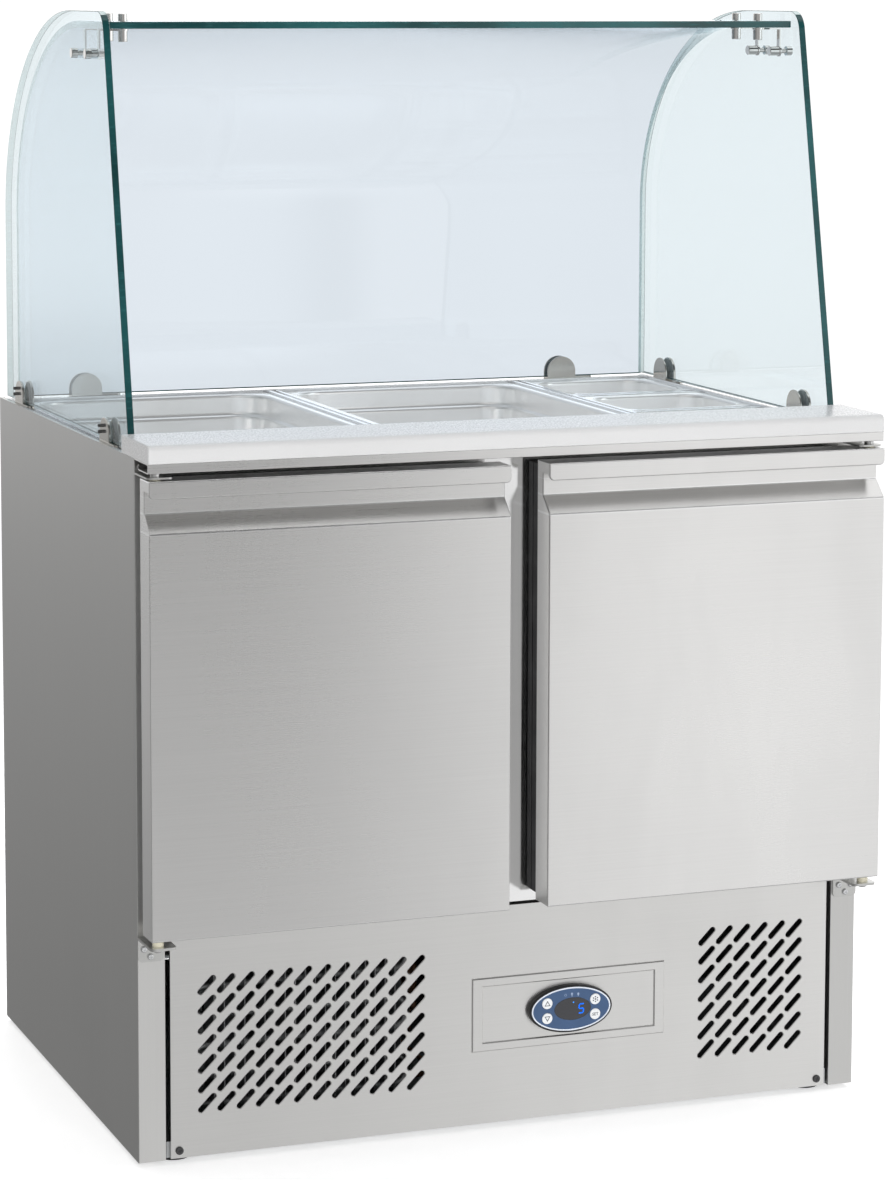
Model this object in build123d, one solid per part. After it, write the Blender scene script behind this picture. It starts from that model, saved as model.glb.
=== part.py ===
from build123d import *
import math
import os

# Refrigerated saladette: a two-door chilled cabinet with a gastronorm well on top,
# a white cutting board along the front and a bent-glass canopy.
# Millimetres. +Z up, front faces -Y, origin at the centre of the footprint on the floor.

os.makedirs("parts", exist_ok=True)

# ---------------------------------------------------------------- driving dimensions
WIDTH = 900.0            # over the side panels and over the doors
Y_DOOR = -350.0          # front plane of the doors
Y_FRAME = -289.0         # front plane of the cabinet body
Y_BACK = 345.0           # rear edges of the side panels
Y_LOUVRE = 350.0         # outermost face of the rear louvres
SHEET = 1.2              # body sheet metal
Z_BODY = 6.0             # underside of the side panels
Z_TOP = 813.0            # top of the side panels and worktop
Z_DECK = 272.0           # underside of the insulated box
HALF = WIDTH / 2

FLANGE_W = 32.0          # front return of each side panel
GRILLE_HALF = 412.0      # half width of the lower front panel
GRILLE_Z0, GRILLE_Z1 = 7.0, 266.7
SLOT_LEN, SLOT_W, SLOT_PITCH = 27.2, 6.5, 23.0
SLOT_ROWS = 7
SLOT_Z0 = 68.0           # centre height of the lowest row
LEFT_COLS, LEFT_X0 = 12, -368.6
RIGHT_COLS, RIGHT_X0 = 6, 254.2
EMB_X, EMB_Z, EMB_W, EMB_H = 76.0, 138.0, 245.0, 88.0   # pressed frame round the controller
EMB_BORDER, EMB_PROUD = 13.5, 1.8
CTRL_X, CTRL_Z = 76.0, 137.0
CTRL_W, CTRL_H, CTRL_PROUD = 105.0, 57.0, 8.0
BUTTON_R, BUTTON_GAP, BUTTON_TRAVEL = 6.5, 0.35, 0.8
BUTTON_DX, BUTTON_DZ = 30.5, 9.0

DOOR_GAP = 47.0          # between the two doors
DOOR_Z0, DOOR_Z1 = 277.0, 794.0
DOOR_T = 37.0
LIP_H = 20.0             # front lip of the full-width handle
RECESS_D = 21.0          # depth of the finger recess
RECESS_H = 19.0          # flat back of the recess
SLOPE_H = 19.5           # sloping return to the front plane
HOOK_UP = 9.0            # how far the recess reaches up behind the lip
LIP_T = 5.0
LIP_R = 6.0              # rounded lower corners of the lip
PIN_X, PIN_Y = 438.0, -332.0
PIN_R, BUSH_R, BUSH_FLANGE_R = 4.0, 6.0, 6.5
RUN_FIT = 0.06           # radial running clearance at the hinges

BOARD_Y0, BOARD_Y1, BOARD_T = -348.0, -236.0, 20.0
RAIL_Y, RAIL_H, RAIL_DEPTH = -345.5, 11.0, 37.0

WELL_HALF = 430.5        # half width of the pan well
WELL_Y0, WELL_Y1 = -216.0, 316.0
LEDGE, LEDGE_Z = 8.0, 808.0
PAN_L, PAN_W, PAN_DEPTH = 530.0, 325.0, 65.0
SIXTH_W, SIXTH_L = 176.0, 162.0
BAR_W, SHORT_BAR_W = 17.0, 22.0

GLASS_T = 8.0
SIDE_GLASS_X = 441.0     # outer face of each side glass
GLASS_Z0 = 815.0
SIDE_TOP, CURVE_TOP = 1305.0, 1293.0
ARC_Z, ARC_Y = 1046.0, 15.0      # centre of the rear curve of the canopy
SIDE_REAR, CURVE_REAR = 342.5, 332.5
CURVE_HALF = 429.0
CURVE_FRONT = -124.5
SIDE_CLAMP_Y = (265.0, -143.0)
REAR_CLAMP_X = (-342.0, 312.0)
STRAP_Y = (-23.0, -85.0)
STRAP_X, STRAP_Z = 403.0, 1256.0
CURVE_UNDER = CURVE_TOP - GLASS_T


# ---------------------------------------------------------------- helpers
def box(x0, x1, y0, y1, z0, z1):
    return Pos((x0 + x1) / 2, (y0 + y1) / 2, (z0 + z1) / 2) * Box(x1 - x0, y1 - y0, z1 - z0)


def cyl_x(x0, x1, y, z, r):
    return Pos((x0 + x1) / 2, y, z) * Rot(0, 90, 0) * Cylinder(r, x1 - x0)


def cyl_y(x, y0, y1, z, r):
    return Pos(x, (y0 + y1) / 2, z) * Rot(90, 0, 0) * Cylinder(r, y1 - y0)


def cyl_z(x, y, z0, z1, r):
    return Pos(x, y, (z0 + z1) / 2) * Cylinder(r, z1 - z0)


def hex_z(x, y, z0, z1, across):
    return Pos(x, y, z0) * extrude(RegularPolygon(across / 2, 6, major_radius=False), z1 - z0)


def rounded(x0, x1, y0, y1, z0, z1, r):
    """Upright block with rounded vertical edges."""
    return Pos((x0 + x1) / 2, (y0 + y1) / 2, z0) * extrude(
        RectangleRounded(x1 - x0, y1 - y0, r), z1 - z0)


def prism_x(points, x0, x1):
    """Polygon in Y and Z, extruded along X."""
    face = make_face(Polyline(*[(x0, y, z) for y, z in points], close=True))
    return extrude(face, amount=x1 - x0, dir=(1, 0, 0))


def solids_only(shape):
    s = shape.solids()
    return s[0] if len(s) == 1 else Compound(children=list(s))


def save(name, *shapes):
    out = []
    for s in shapes:
        out += list(s.solids())
    whole = out[0] if len(out) == 1 else Compound(children=out)
    export_step(whole, "parts/" + name + ".step")
    print(name, len(out), round(sum(s.volume for s in out)))


def one(shape):
    """The whole shape as a single clean solid."""
    s = shape.solids()
    assert len(s) == 1, len(s)
    return s[0]


# ---------------------------------------------------------------- cabinet casing
def side_panel(side):
    s = side
    def bx(a, b, *rest):
        lo, hi = sorted((s * a, s * b))
        return box(lo, hi, *rest)
    p = bx(HALF, HALF - SHEET, Y_FRAME, Y_BACK, Z_BODY, Z_TOP)
    p += bx(HALF, HALF - FLANGE_W, Y_FRAME, Y_FRAME + SHEET, Z_BODY, 801.0)
    p += bx(HALF, HALF - 20, Y_BACK - SHEET, Y_BACK, Z_BODY, Z_TOP)
    p += bx(HALF, HALF - 4.5, Y_FRAME, Y_BACK, Z_TOP - SHEET, Z_TOP)
    p += bx(HALF, HALF - 25, Y_FRAME, Y_BACK, Z_BODY, Z_BODY + SHEET)
    # inner hem of the front return
    p += bx(HALF - FLANGE_W + SHEET, HALF - FLANGE_W, Y_FRAME, Y_FRAME + 9, Z_BODY, 268.0)
    for x in (s * (HALF - 15 - 8), s * (HALF - 7), s * (HALF - 14.5)):
        zz = 246.0 if abs(abs(x) - (HALF - 14.5)) < 0.1 else 255.0
        p -= cyl_y(x, Y_FRAME - 1, Y_FRAME + 3, zz, 2.1)
    for zz in (24.0, 250.0):
        p -= cyl_y(s * 435.5, Y_BACK - 3, Y_BACK + 3, zz, 2.1)
    edge = [e for e in p.edges().filter_by(Axis.Z)
            if abs(e.center().X - s * HALF) < 0.01 and abs(e.center().Y - Y_FRAME) < 0.01]
    p = fillet(edge, 1.0)
    return one(p)


save("side_panel_left", side_panel(-1))
save("side_panel_right", side_panel(1))

# back of the insulated box, folded forward under it
PIPES_UP = [(-170.0, 274.0, 6.0), (-140.0, 274.0, 4.0)]   # x, y, hole radius
DRAIN = (60.0, 274.0, 8.0)
rear = box(-HALF + SHEET, HALF - SHEET, Y_BACK - 2 * SHEET - 0.05, Y_BACK - SHEET - 0.05, Z_DECK - SHEET, 800.8)
rear += box(-HALF + SHEET, HALF - SHEET, -276.5, Y_BACK - SHEET - 0.05, Z_DECK - SHEET, Z_DECK)
for x, y, r in PIPES_UP + [DRAIN]:
    rear -= cyl_z(x, y, Z_DECK - 3, Z_DECK + 1, r)
save("rear_panel", one(rear))

# rear cover of the machine compartment, with hooded louvres
COVER_Y = Y_BACK + SHEET
cover = box(-441.0, 441.0, Y_BACK, COVER_Y, 9.0, Z_DECK - 2)
cover += box(-428.5, 428.5, Y_BACK - 10, COVER_Y, Z_DECK - 2 - SHEET, Z_DECK - 2)
for cx in (-250.0, -60.0, 130.0):
    for row in range(7):
        z = 60.0 + 26.0 * row
        cover -= box(cx - 69, cx + 69, Y_BACK - 1, COVER_Y + 1, z, z + 8.0)
        hood = prism_x([(COVER_Y - 0.2, z), (Y_LOUVRE, z), (Y_LOUVRE, z + 1.2), (COVER_Y - 0.2, z + 11)],
                       cx - 70, cx + 70)
        hood -= prism_x([(Y_BACK - 2, z - 1), (Y_LOUVRE - 1.0, z - 1), (Y_LOUVRE - 1.0, z + 0.6), (Y_BACK - 2, z + 11.5)],
                        cx - 69, cx + 69)
        cover += hood
for x in (-435.5, 435.5):
    for z in (24.0, 250.0):
        cover -= cyl_y(x, Y_BACK - 3, COVER_Y + 3, z, 2.1)
cover -= cyl_y(380.0, Y_BACK - 5, COVER_Y + 5, 60.0, 8.05)
save("rear_vent_cover", one(cover))

# floor of the machine compartment
tray = box(-424.5, 424.5, -284.0, 341.0, 7.3, 8.8)
tray += box(-424.5, 424.5, -284.0, -282.5, 7.3, 26.0)
tray += box(-424.5, 424.5, 339.5, 341.0, 7.3, 26.0)
FEET = [(-400.0, -255.0), (400.0, -255.0), (-400.0, 300.0), (400.0, 300.0)]
for x, y in FEET:
    tray += cyl_z(x, y, 8.8, 16.0, 9.0)
    tray -= cyl_z(x, y, 6.0, 17.0, 4.05)
for s in (-1, 1):
    lo, hi = sorted((s * 430.0, s * 416.0))
    tray -= box(lo, hi, -290.0, -279.0, 7.0, 27.0)
    tray -= cyl_y(s * 402.0, -290.0, -280.0, 15.8, 2.1)
save("base_tray", one(tray))

feet = []
for x, y in FEET:
    f = cyl_z(x, y, 0.0, 3.2, 19.0)
    f = fillet(f.edges().group_by(Axis.Z)[-1], 1.4)
    f += hex_z(x, y, 3.2, 7.2, 14.0)
    f += cyl_z(x, y, 3.2, 30.0, 4.0)
    feet.append(one(f))
save("glide_feet", *feet)

# ---------------------------------------------------------------- insulated box
OPEN_X0, OPEN_X1 = 45.0, 405.0
OPEN_Z0, OPEN_Z1 = 300.0, 775.0
FR_X, RET = 417.5, 25.0      # half width of the front frame, depth of its returns
Y_RET = Y_FRAME + RET
sill = box(-FR_X, FR_X, Y_FRAME, Y_FRAME + SHEET, 270.6, OPEN_Z0)
sill += box(-OPEN_X1 - SHEET, OPEN_X1 + SHEET, Y_FRAME, Y_RET, OPEN_Z0 - SHEET, OPEN_Z0)
sill += box(-FR_X, FR_X, Y_FRAME, Y_FRAME + 12, 270.6, 270.6 + SHEET)
header = box(-FR_X, FR_X, Y_FRAME, Y_FRAME + SHEET, OPEN_Z1, 801.0)
header += box(-OPEN_X1 - SHEET, OPEN_X1 + SHEET, Y_FRAME, Y_RET, OPEN_Z1, OPEN_Z1 + SHEET)
post = box(-OPEN_X0, OPEN_X0, Y_FRAME, Y_FRAME + SHEET, OPEN_Z0, OPEN_Z1)
jambs = []
for s in (-1, 1):
    xa, xb = sorted((s * OPEN_X0, s * (OPEN_X0 - SHEET)))
    post += box(xa, xb, Y_FRAME, Y_RET, OPEN_Z0, OPEN_Z1)
    xa, xb = sorted((s * OPEN_X1, s * FR_X))
    j = box(xa, xb, Y_FRAME, Y_FRAME + SHEET, OPEN_Z0, OPEN_Z1)
    xa, xb = sorted((s * OPEN_X1, s * (OPEN_X1 + SHEET)))
    j += box(xa, xb, Y_FRAME, Y_RET, OPEN_Z0, OPEN_Z1)
    jambs.append(one(j))
save("front_frame", one(sill), one(header), one(post), *jambs)

# lining of flat sheets, 1 mm thick: wider above UP_Z, where the pans hang
LIN_X, LIN_Y0, LIN_Y1, LIN_Z0, LIN_Z1 = 409.0, -264.0, 290.0, 295.0, 800.0
UP_X, UP_Y1, UP_Z = 424.9, 310.5, 737.0
y_in = LIN_Y0 + 1
floor = box(-LIN_X, LIN_X, y_in, LIN_Y1, LIN_Z0, LIN_Z0 + 1)
for x, y, r in PIPES_UP + [DRAIN]:
    floor -= cyl_z(x, y, LIN_Z0 - 2, LIN_Z0 + 3, r)
sheets = [
    one(floor),
    box(-LIN_X, LIN_X, LIN_Y0, y_in, LIN_Z0, OPEN_Z0),
    box(-UP_X, UP_X, LIN_Y0, y_in, OPEN_Z1, LIN_Z1),
    box(-OPEN_X0, OPEN_X0, LIN_Y0, y_in, OPEN_Z0, OPEN_Z1),
    box(-LIN_X + 1, LIN_X - 1, LIN_Y1 - 1, LIN_Y1, LIN_Z0 + 1, UP_Z),
    box(-LIN_X + 1, LIN_X - 1, LIN_Y1 - 1, UP_Y1, UP_Z, UP_Z + 1),
    box(-UP_X + 1, UP_X - 1, UP_Y1 - 1, UP_Y1, UP_Z + 1, LIN_Z1),
]
for s in (-1, 1):
    def bx(a, b, *rest):
        lo, hi = sorted((s * a, s * b))
        return box(lo, hi, *rest)
    sheets.append(one(bx(OPEN_X1, LIN_X, LIN_Y0, y_in, OPEN_Z0, UP_Z)
                      + bx(OPEN_X1, UP_X, LIN_Y0, y_in, UP_Z, OPEN_Z1)))
    sheets.append(bx(LIN_X - 1, LIN_X, y_in, LIN_Y1, LIN_Z0 + 1, UP_Z))
    sheets.append(bx(LIN_X - 1, UP_X, y_in, UP_Y1, UP_Z, UP_Z + 1))
    sheets.append(bx(UP_X - 1, UP_X, y_in, UP_Y1, UP_Z + 1, LIN_Z1))
save("inner_liner", *sheets)

# foam between lining and casing, in slabs that meet face to face
FOAM_X, FOAM_Y0, FOAM_Y1, FOAM_Z1 = HALF - SHEET, Y_FRAME + SHEET, Y_BACK - 2 * SHEET - 0.05, LIN_Z1 + 0.1
RIM_X, RIM_Y0, RIM_Y1, RIM_Z1 = 443.3, -287.6, 342.4, 806.6
slab = box(-FOAM_X, FOAM_X, LIN_Y0, FOAM_Y1, Z_DECK, LIN_Z0)
for x, y, r in PIPES_UP + [DRAIN]:
    slab -= cyl_z(x, y, Z_DECK - 2, LIN_Z0 + 3, r)
slabs = [
    one(slab),
    box(-FOAM_X, FOAM_X, FOAM_Y0, LIN_Y0, Z_DECK, OPEN_Z0 - SHEET),
    box(-FOAM_X, FOAM_X, FOAM_Y0, LIN_Y0, OPEN_Z1 + SHEET, FOAM_Z1),
    box(-OPEN_X0 + SHEET, OPEN_X0 - SHEET, FOAM_Y0, LIN_Y0, OPEN_Z0, OPEN_Z1),
    box(-LIN_X, LIN_X, LIN_Y1, FOAM_Y1, LIN_Z0, UP_Z),
    box(-UP_X, UP_X, UP_Y1, FOAM_Y1, UP_Z, FOAM_Z1),
    box(-RIM_X, RIM_X, RIM_Y0, -218.1, FOAM_Z1, RIM_Z1),
    box(-RIM_X, RIM_X, 318.0, RIM_Y1, FOAM_Z1, RIM_Z1),
]
for s in (-1, 1):
    def bx(a, b, *rest):
        lo, hi = sorted((s * a, s * b))
        return box(lo, hi, *rest)
    slabs.append(bx(OPEN_X1 + SHEET, FOAM_X, FOAM_Y0, LIN_Y0, OPEN_Z0 - SHEET, OPEN_Z1 + SHEET))
    slabs.append(bx(LIN_X, FOAM_X, LIN_Y0, FOAM_Y1, LIN_Z0, UP_Z))
    slabs.append(bx(UP_X, FOAM_X, LIN_Y0, FOAM_Y1, UP_Z, FOAM_Z1))
    slabs.append(bx(432.0, RIM_X, -218.1, 318.0, FOAM_Z1, RIM_Z1))
save("foam_body", *slabs)

# ---------------------------------------------------------------- worktop and rail
WT_X = HALF - 5.3
work = box(-WT_X, WT_X, Y_FRAME, Y_BACK - SHEET, Z_TOP - SHEET, Z_TOP)
work -= box(-WELL_HALF, WELL_HALF, WELL_Y0, WELL_Y1, Z_TOP - 3, Z_TOP + 1)
step = box(-WELL_HALF - SHEET, WELL_HALF + SHEET, WELL_Y0 - SHEET, WELL_Y1 + SHEET, LEDGE_Z - SHEET, Z_TOP - SHEET)
step -= box(-WELL_HALF, WELL_HALF, WELL_Y0, WELL_Y1, LEDGE_Z, Z_TOP)
step -= box(-WELL_HALF + LEDGE, WELL_HALF - LEDGE, WELL_Y0 + LEDGE, WELL_Y1 - LEDGE, LEDGE_Z - 3, Z_TOP)
neck = box(-WELL_HALF + LEDGE - SHEET, WELL_HALF - LEDGE + SHEET, WELL_Y0 + LEDGE - SHEET, WELL_Y1 - LEDGE + SHEET, 790.0, LEDGE_Z - SHEET)
neck -= box(-WELL_HALF + LEDGE, WELL_HALF - LEDGE, WELL_Y0 + LEDGE, WELL_Y1 - LEDGE, 789.0, Z_TOP)
skirt = box(-WT_X, WT_X, Y_FRAME, Y_BACK - SHEET, 801.0, Z_TOP - SHEET)
skirt -= box(-WT_X + SHEET, WT_X - SHEET, Y_FRAME + SHEET, Y_BACK - 2 * SHEET, 800.0, Z_TOP - SHEET)
work = work + step + neck + skirt
save("worktop", one(work))

rail = box(-HALF, HALF, RAIL_Y, RAIL_Y + SHEET, Z_TOP - RAIL_H, Z_TOP)
rail += box(-HALF, HALF, RAIL_Y, Y_FRAME, Z_TOP - SHEET, Z_TOP)
rail += box(-HALF, HALF, RAIL_Y, RAIL_Y + RAIL_DEPTH, Z_TOP - RAIL_H, Z_TOP - RAIL_H + SHEET)
hem = cyl_x(-HALF, HALF, RAIL_Y + RAIL_DEPTH, Z_TOP - RAIL_H + 3.4, 3.4)
hem -= cyl_x(-HALF - 1, HALF + 1, RAIL_Y + RAIL_DEPTH, Z_TOP - RAIL_H + 3.4, 2.2)
hem -= box(-HALF - 1, HALF + 1, RAIL_Y + RAIL_DEPTH - 5, RAIL_Y + RAIL_DEPTH, Z_TOP - RAIL_H + SHEET, Z_TOP - RAIL_H + 8)
rail += hem
edges = [e for e in rail.edges().filter_by(Axis.X) if abs(e.center().Y - RAIL_Y) < 0.01]
rail = fillet(edges, 0.9)
save("front_rail", one(rail))

# ---------------------------------------------------------------- lower front panel
panel = box(-GRILLE_HALF, GRILLE_HALF, Y_FRAME, Y_FRAME + SHEET, GRILLE_Z0, GRILLE_Z1)
panel += box(-GRILLE_HALF, -GRILLE_HALF + SHEET, Y_FRAME, Y_FRAME + 4, GRILLE_Z0, GRILLE_Z1)
panel += box(GRILLE_HALF - SHEET, GRILLE_HALF, Y_FRAME, Y_FRAME + 4, GRILLE_Z0, GRILLE_Z1)
panel += box(-GRILLE_HALF, GRILLE_HALF, Y_FRAME, Y_FRAME + 14, GRILLE_Z1 - SHEET, GRILLE_Z1)
ridge = box(EMB_X - EMB_W / 2, EMB_X + EMB_W / 2, Y_FRAME - EMB_PROUD, Y_FRAME, EMB_Z - EMB_H / 2, EMB_Z + EMB_H / 2)
ridge -= box(EMB_X - EMB_W / 2 + EMB_BORDER, EMB_X + EMB_W / 2 - EMB_BORDER, Y_FRAME - 5, Y_FRAME + 1,
             EMB_Z - EMB_H / 2 + EMB_BORDER * 0.78, EMB_Z + EMB_H / 2 - EMB_BORDER * 0.78)
ridge = chamfer(ridge.edges().group_by(Axis.Y)[0], 1.2)
panel += ridge
slot = extrude(SlotOverall(SLOT_LEN, SLOT_W), 3.0, both=True)
slot += extrude(SlotOverall(SLOT_LEN + 1.5, SLOT_W + 1.5), -0.75, taper=44)
slot = Rot(90, 0, 0) * Rot(0, 0, 45) * slot
cuts = []
for cols, x0 in ((LEFT_COLS, LEFT_X0), (RIGHT_COLS, RIGHT_X0)):
    for c in range(cols):
        for r in range(SLOT_ROWS):
            cuts.append(Pos(x0 + c * SLOT_PITCH, Y_FRAME, SLOT_Z0 + r * SLOT_PITCH) * slot)
panel = panel - cuts
panel -= box(CTRL_X - 35.6, CTRL_X + 35.6, Y_FRAME - 5, Y_FRAME + 5, CTRL_Z - 14.6, CTRL_Z + 14.6)
for s in (-1, 1):
    panel -= cyl_y(s * 402.0, Y_FRAME - 3, Y_FRAME + 3, 15.8, 2.1)
save("grille_panel", one(panel))


def screw_y(x, y_face, z, toward, head_r=4.7, head_h=2.3, shank_r=2.05, shank=9.0, phase=0.0):
    """Cross-recess screw; toward is -1 when the head faces -Y."""
    y_h = y_face + toward * head_h
    h = cyl_y(x, min(y_face, y_h), max(y_face, y_h), z, head_r)
    rim = [e for e in h.edges().filter_by(GeomType.CIRCLE) if abs(e.center().Y - y_h) < 0.01]
    h = fillet(rim, head_h * 0.55)
    y_s = y_face - toward * shank
    h += cyl_y(x, min(y_face, y_s), max(y_face, y_s), z, shank_r)
    for a in (phase, phase + 90):
        c = Pos(x, y_h, z) * Rot(0, a, 0) * Box(head_r * 1.05, head_h * 0.9, head_r * 0.24)
        h -= c
    return one(h)


save("panel_screws",
     *[screw_y(s * 402.0, Y_FRAME, 15.8, -1, phase=20 * s) for s in (-1, 1)],
     *[screw_y(x, COVER_Y, z, 1, phase=z) for x in (-435.5, 435.5) for z in (24.0, 250.0)])

# ---------------------------------------------------------------- controller
body = Pos(CTRL_X, Y_FRAME, CTRL_Z) * Rot(90, 0, 0) * extrude(Ellipse(CTRL_W / 2, CTRL_H / 2), CTRL_PROUD)
front = [e for e in body.edges() if abs(e.center().Y - (Y_FRAME - CTRL_PROUD)) < 0.5 and e.length > 50]
body = fillet(front, 1.6)
body += box(CTRL_X - 35.5, CTRL_X + 35.5, Y_FRAME, -228.0, CTRL_Z - 14.5, CTRL_Z + 14.5)
# window seat and button pockets
body -= Pos(CTRL_X + 1.8, Y_FRAME - CTRL_PROUD - 1, CTRL_Z) * Rot(-90, 0, 0) * extrude(Ellipse(23.2, 13.4), 3.0)
BUTTONS = {"up_button": (-1, 1), "down_button": (-1, -1), "aux_button": (1, 1), "set_button": (1, -1)}
for sx, sz in BUTTONS.values():
    body -= cyl_y(CTRL_X + sx * BUTTON_DX, Y_FRAME - CTRL_PROUD - 1, Y_FRAME - CTRL_PROUD + 4.2,
                  CTRL_Z + sz * BUTTON_DZ, BUTTON_R + BUTTON_GAP)
save("controller_body", one(body))

lens = Pos(CTRL_X + 1.8, Y_FRAME - CTRL_PROUD - 0.2, CTRL_Z) * Rot(-90, 0, 0) * extrude(Ellipse(23.1, 13.3), 2.2)
save("display_window", one(lens))

for name, (sx, sz) in BUTTONS.items():
    y_out = Y_FRAME - CTRL_PROUD - 0.9
    b = cyl_y(CTRL_X + sx * BUTTON_DX, y_out, y_out + 4.0, CTRL_Z + sz * BUTTON_DZ, BUTTON_R)
    rim = [e for e in b.edges().filter_by(GeomType.CIRCLE) if abs(e.center().Y - y_out) < 0.01]
    save(name, one(fillet(rim, 0.7)))

# ---------------------------------------------------------------- hinges
brackets, pins, bushes, hscrews = [], [], [], []
LOW_PLATE_Z = 266.0      # underside of the lower hinge plate
UP_PLATE_Z = 795.4       # underside of the upper hinge plate
for s in (-1, 1):
    xa, xb = sorted((s * HALF, s * (HALF - 30.5)))
    plate = box(xa, xb, -346.0, Y_FRAME, LOW_PLATE_Z, LOW_PLATE_Z + 3)
    corner = [e for e in plate.edges().filter_by(Axis.Z) if e.center().Y < -300]
    plate = fillet(corner, 6.0)
    leg = box(xa, xb, Y_FRAME - 3, Y_FRAME, 240.0, LOW_PLATE_Z + 3)
    corner = [e for e in leg.edges().filter_by(Axis.Y) if e.center().Z < 250]
    leg = fillet(corner, 6.0)
    br = plate + leg
    br -= cyl_z(s * PIN_X, PIN_Y, LOW_PLATE_Z - 1, LOW_PLATE_Z + 4, PIN_R + 0.02)
    spots = [(s * (HALF - 7), 255.0), (s * (HALF - 23), 255.0), (s * (HALF - 14.5), 246.0)]
    for x, z in spots:
        br -= cyl_y(x, Y_FRAME - 4, Y_FRAME + 1, z, 2.1)
        hscrews.append(screw_y(x, Y_FRAME - 3, z, -1, head_r=3.7, head_h=2.2, shank=8.0, phase=17 * s + z * 3))
    brackets.append(one(br))
    up = box(xa, xb, -343.5, Y_FRAME, UP_PLATE_Z, UP_PLATE_Z + 2.0)
    corner = [e for e in up.edges().filter_by(Axis.Z) if e.center().Y < -300]
    up = fillet(corner, 6.0)
    up += box(xa, xb, Y_FRAME - 2, Y_FRAME, UP_PLATE_Z, 811.0)
    up -= cyl_z(s * PIN_X, PIN_Y, UP_PLATE_Z - 1, UP_PLATE_Z + 4, PIN_R + 0.02)
    brackets.append(one(up))
    # lower pin: head under the plate, shank up into the door
    low = cyl_z(s * PIN_X, PIN_Y, LOW_PLATE_Z - 4.6, LOW_PLATE_Z, 5.2)
    low = fillet(low.edges().group_by(Axis.Z)[0], 1.8)
    low += cyl_z(s * PIN_X, PIN_Y, LOW_PLATE_Z, 304.0, PIN_R)
    low -= Pos(s * PIN_X, PIN_Y, LOW_PLATE_Z - 4.6) * Box(6.4, 1.2, 2.4)
    low -= Pos(s * PIN_X, PIN_Y, LOW_PLATE_Z - 4.6) * Box(1.2, 6.4, 2.4)
    pins.append(one(low))
    top = cyl_z(s * PIN_X, PIN_Y, UP_PLATE_Z + 2, UP_PLATE_Z + 6.2, 5.6)
    top = fillet(top.edges().group_by(Axis.Z)[-1], 1.2)
    top += cyl_z(s * PIN_X, PIN_Y, 784.6, UP_PLATE_Z + 2, PIN_R)
    top -= Pos(s * PIN_X, PIN_Y, UP_PLATE_Z + 6.2) * Box(7.0, 1.3, 2.2)
    top -= Pos(s * PIN_X, PIN_Y, UP_PLATE_Z + 6.2) * Box(1.3, 7.0, 2.2)
    pins.append(one(top))
    # bushes sit on the pins; the doors turn on their sleeves
    lb = cyl_z(s * PIN_X, PIN_Y, LOW_PLATE_Z + 3, DOOR_Z0 - 0.15, BUSH_FLANGE_R)
    lb += cyl_z(s * PIN_X, PIN_Y, DOOR_Z0 - 0.2, 300.0, BUSH_R)
    lb -= cyl_z(s * PIN_X, PIN_Y, 260.0, 310.0, PIN_R + 0.02)
    bushes.append(one(lb))
    ub = cyl_z(s * PIN_X, PIN_Y, DOOR_Z1 + 0.2, UP_PLATE_Z, BUSH_FLANGE_R + 1)
    ub += cyl_z(s * PIN_X, PIN_Y, 785.0, DOOR_Z1 + 0.3, BUSH_R)
    ub -= cyl_z(s * PIN_X, PIN_Y, 760.0, 800.0, PIN_R + 0.02)
    bushes.append(one(ub))
save("hinge_brackets", *brackets)
save("hinge_pins", *pins)
save("hinge_bushes", *bushes)
save("hinge_screws", *hscrews)


# ---------------------------------------------------------------- doors
def door_profile(i):
    """Outline in Y and Z of the door shell, offset inwards by i: point, outer fold radius, convex or not."""
    z_lip = DOOR_Z1 - LIP_H
    z_crease = z_lip - RECESS_H
    z_slope = z_crease - SLOPE_H
    yf, yr = Y_DOOR, Y_DOOR + RECESS_D
    k = i * math.tan(math.radians(22.5))
    return [
        ((yf + i, DOOR_Z0 + i), 1.6, 1), ((yf + i, z_slope - k), 3.0, 1), ((yr + i, z_crease - k), 1.8, -1),
        ((yr + i, z_lip + HOOK_UP + i), 1.2, -1), ((yf + LIP_T - i, z_lip + HOOK_UP + i), 1.2, -1),
        ((yf + LIP_T - i, z_lip + i), 1.3, 1), ((yf + i, z_lip + i), 1.6, 1), ((yf + i, DOOR_Z1 - i), 1.6, 1),
        ((Y_DOOR + DOOR_T, DOOR_Z1 - i), 0, 1), ((Y_DOOR + DOOR_T, DOOR_Z0 + i), 0, 1),
    ]


def door_block(i, xa, xb):
    """Solid door of that offset, with its folds rounded and the lip's lower corners cut round."""
    prof = door_profile(i)
    face = make_face(Polyline(*[(xa, y, z) for (y, z), r, c in prof], close=True))
    for (y, z), r, c in prof:
        rr = r - i * c
        if r and rr > 0.15:
            face = fillet([q for q in face.vertices() if abs(q.Y - y) < 1e-4 and abs(q.Z - z) < 1e-4], rr)
    block = extrude(face, amount=xb - xa, dir=(1, 0, 0))
    r = LIP_R - i
    z0 = DOOR_Z1 - LIP_H + i
    for x, s in ((xa, 1), (xb, -1)):
        lo, hi = sorted((x - s, x + s * r))
        corner = box(lo, hi, Y_DOOR - 1, Y_DOOR + LIP_T + 0.2, z0 - 1, z0 + r)
        corner -= cyl_y(x + s * r, Y_DOOR - 2, Y_DOOR + LIP_T + 1, z0 + r, r)
        block -= corner
    return block


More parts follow.
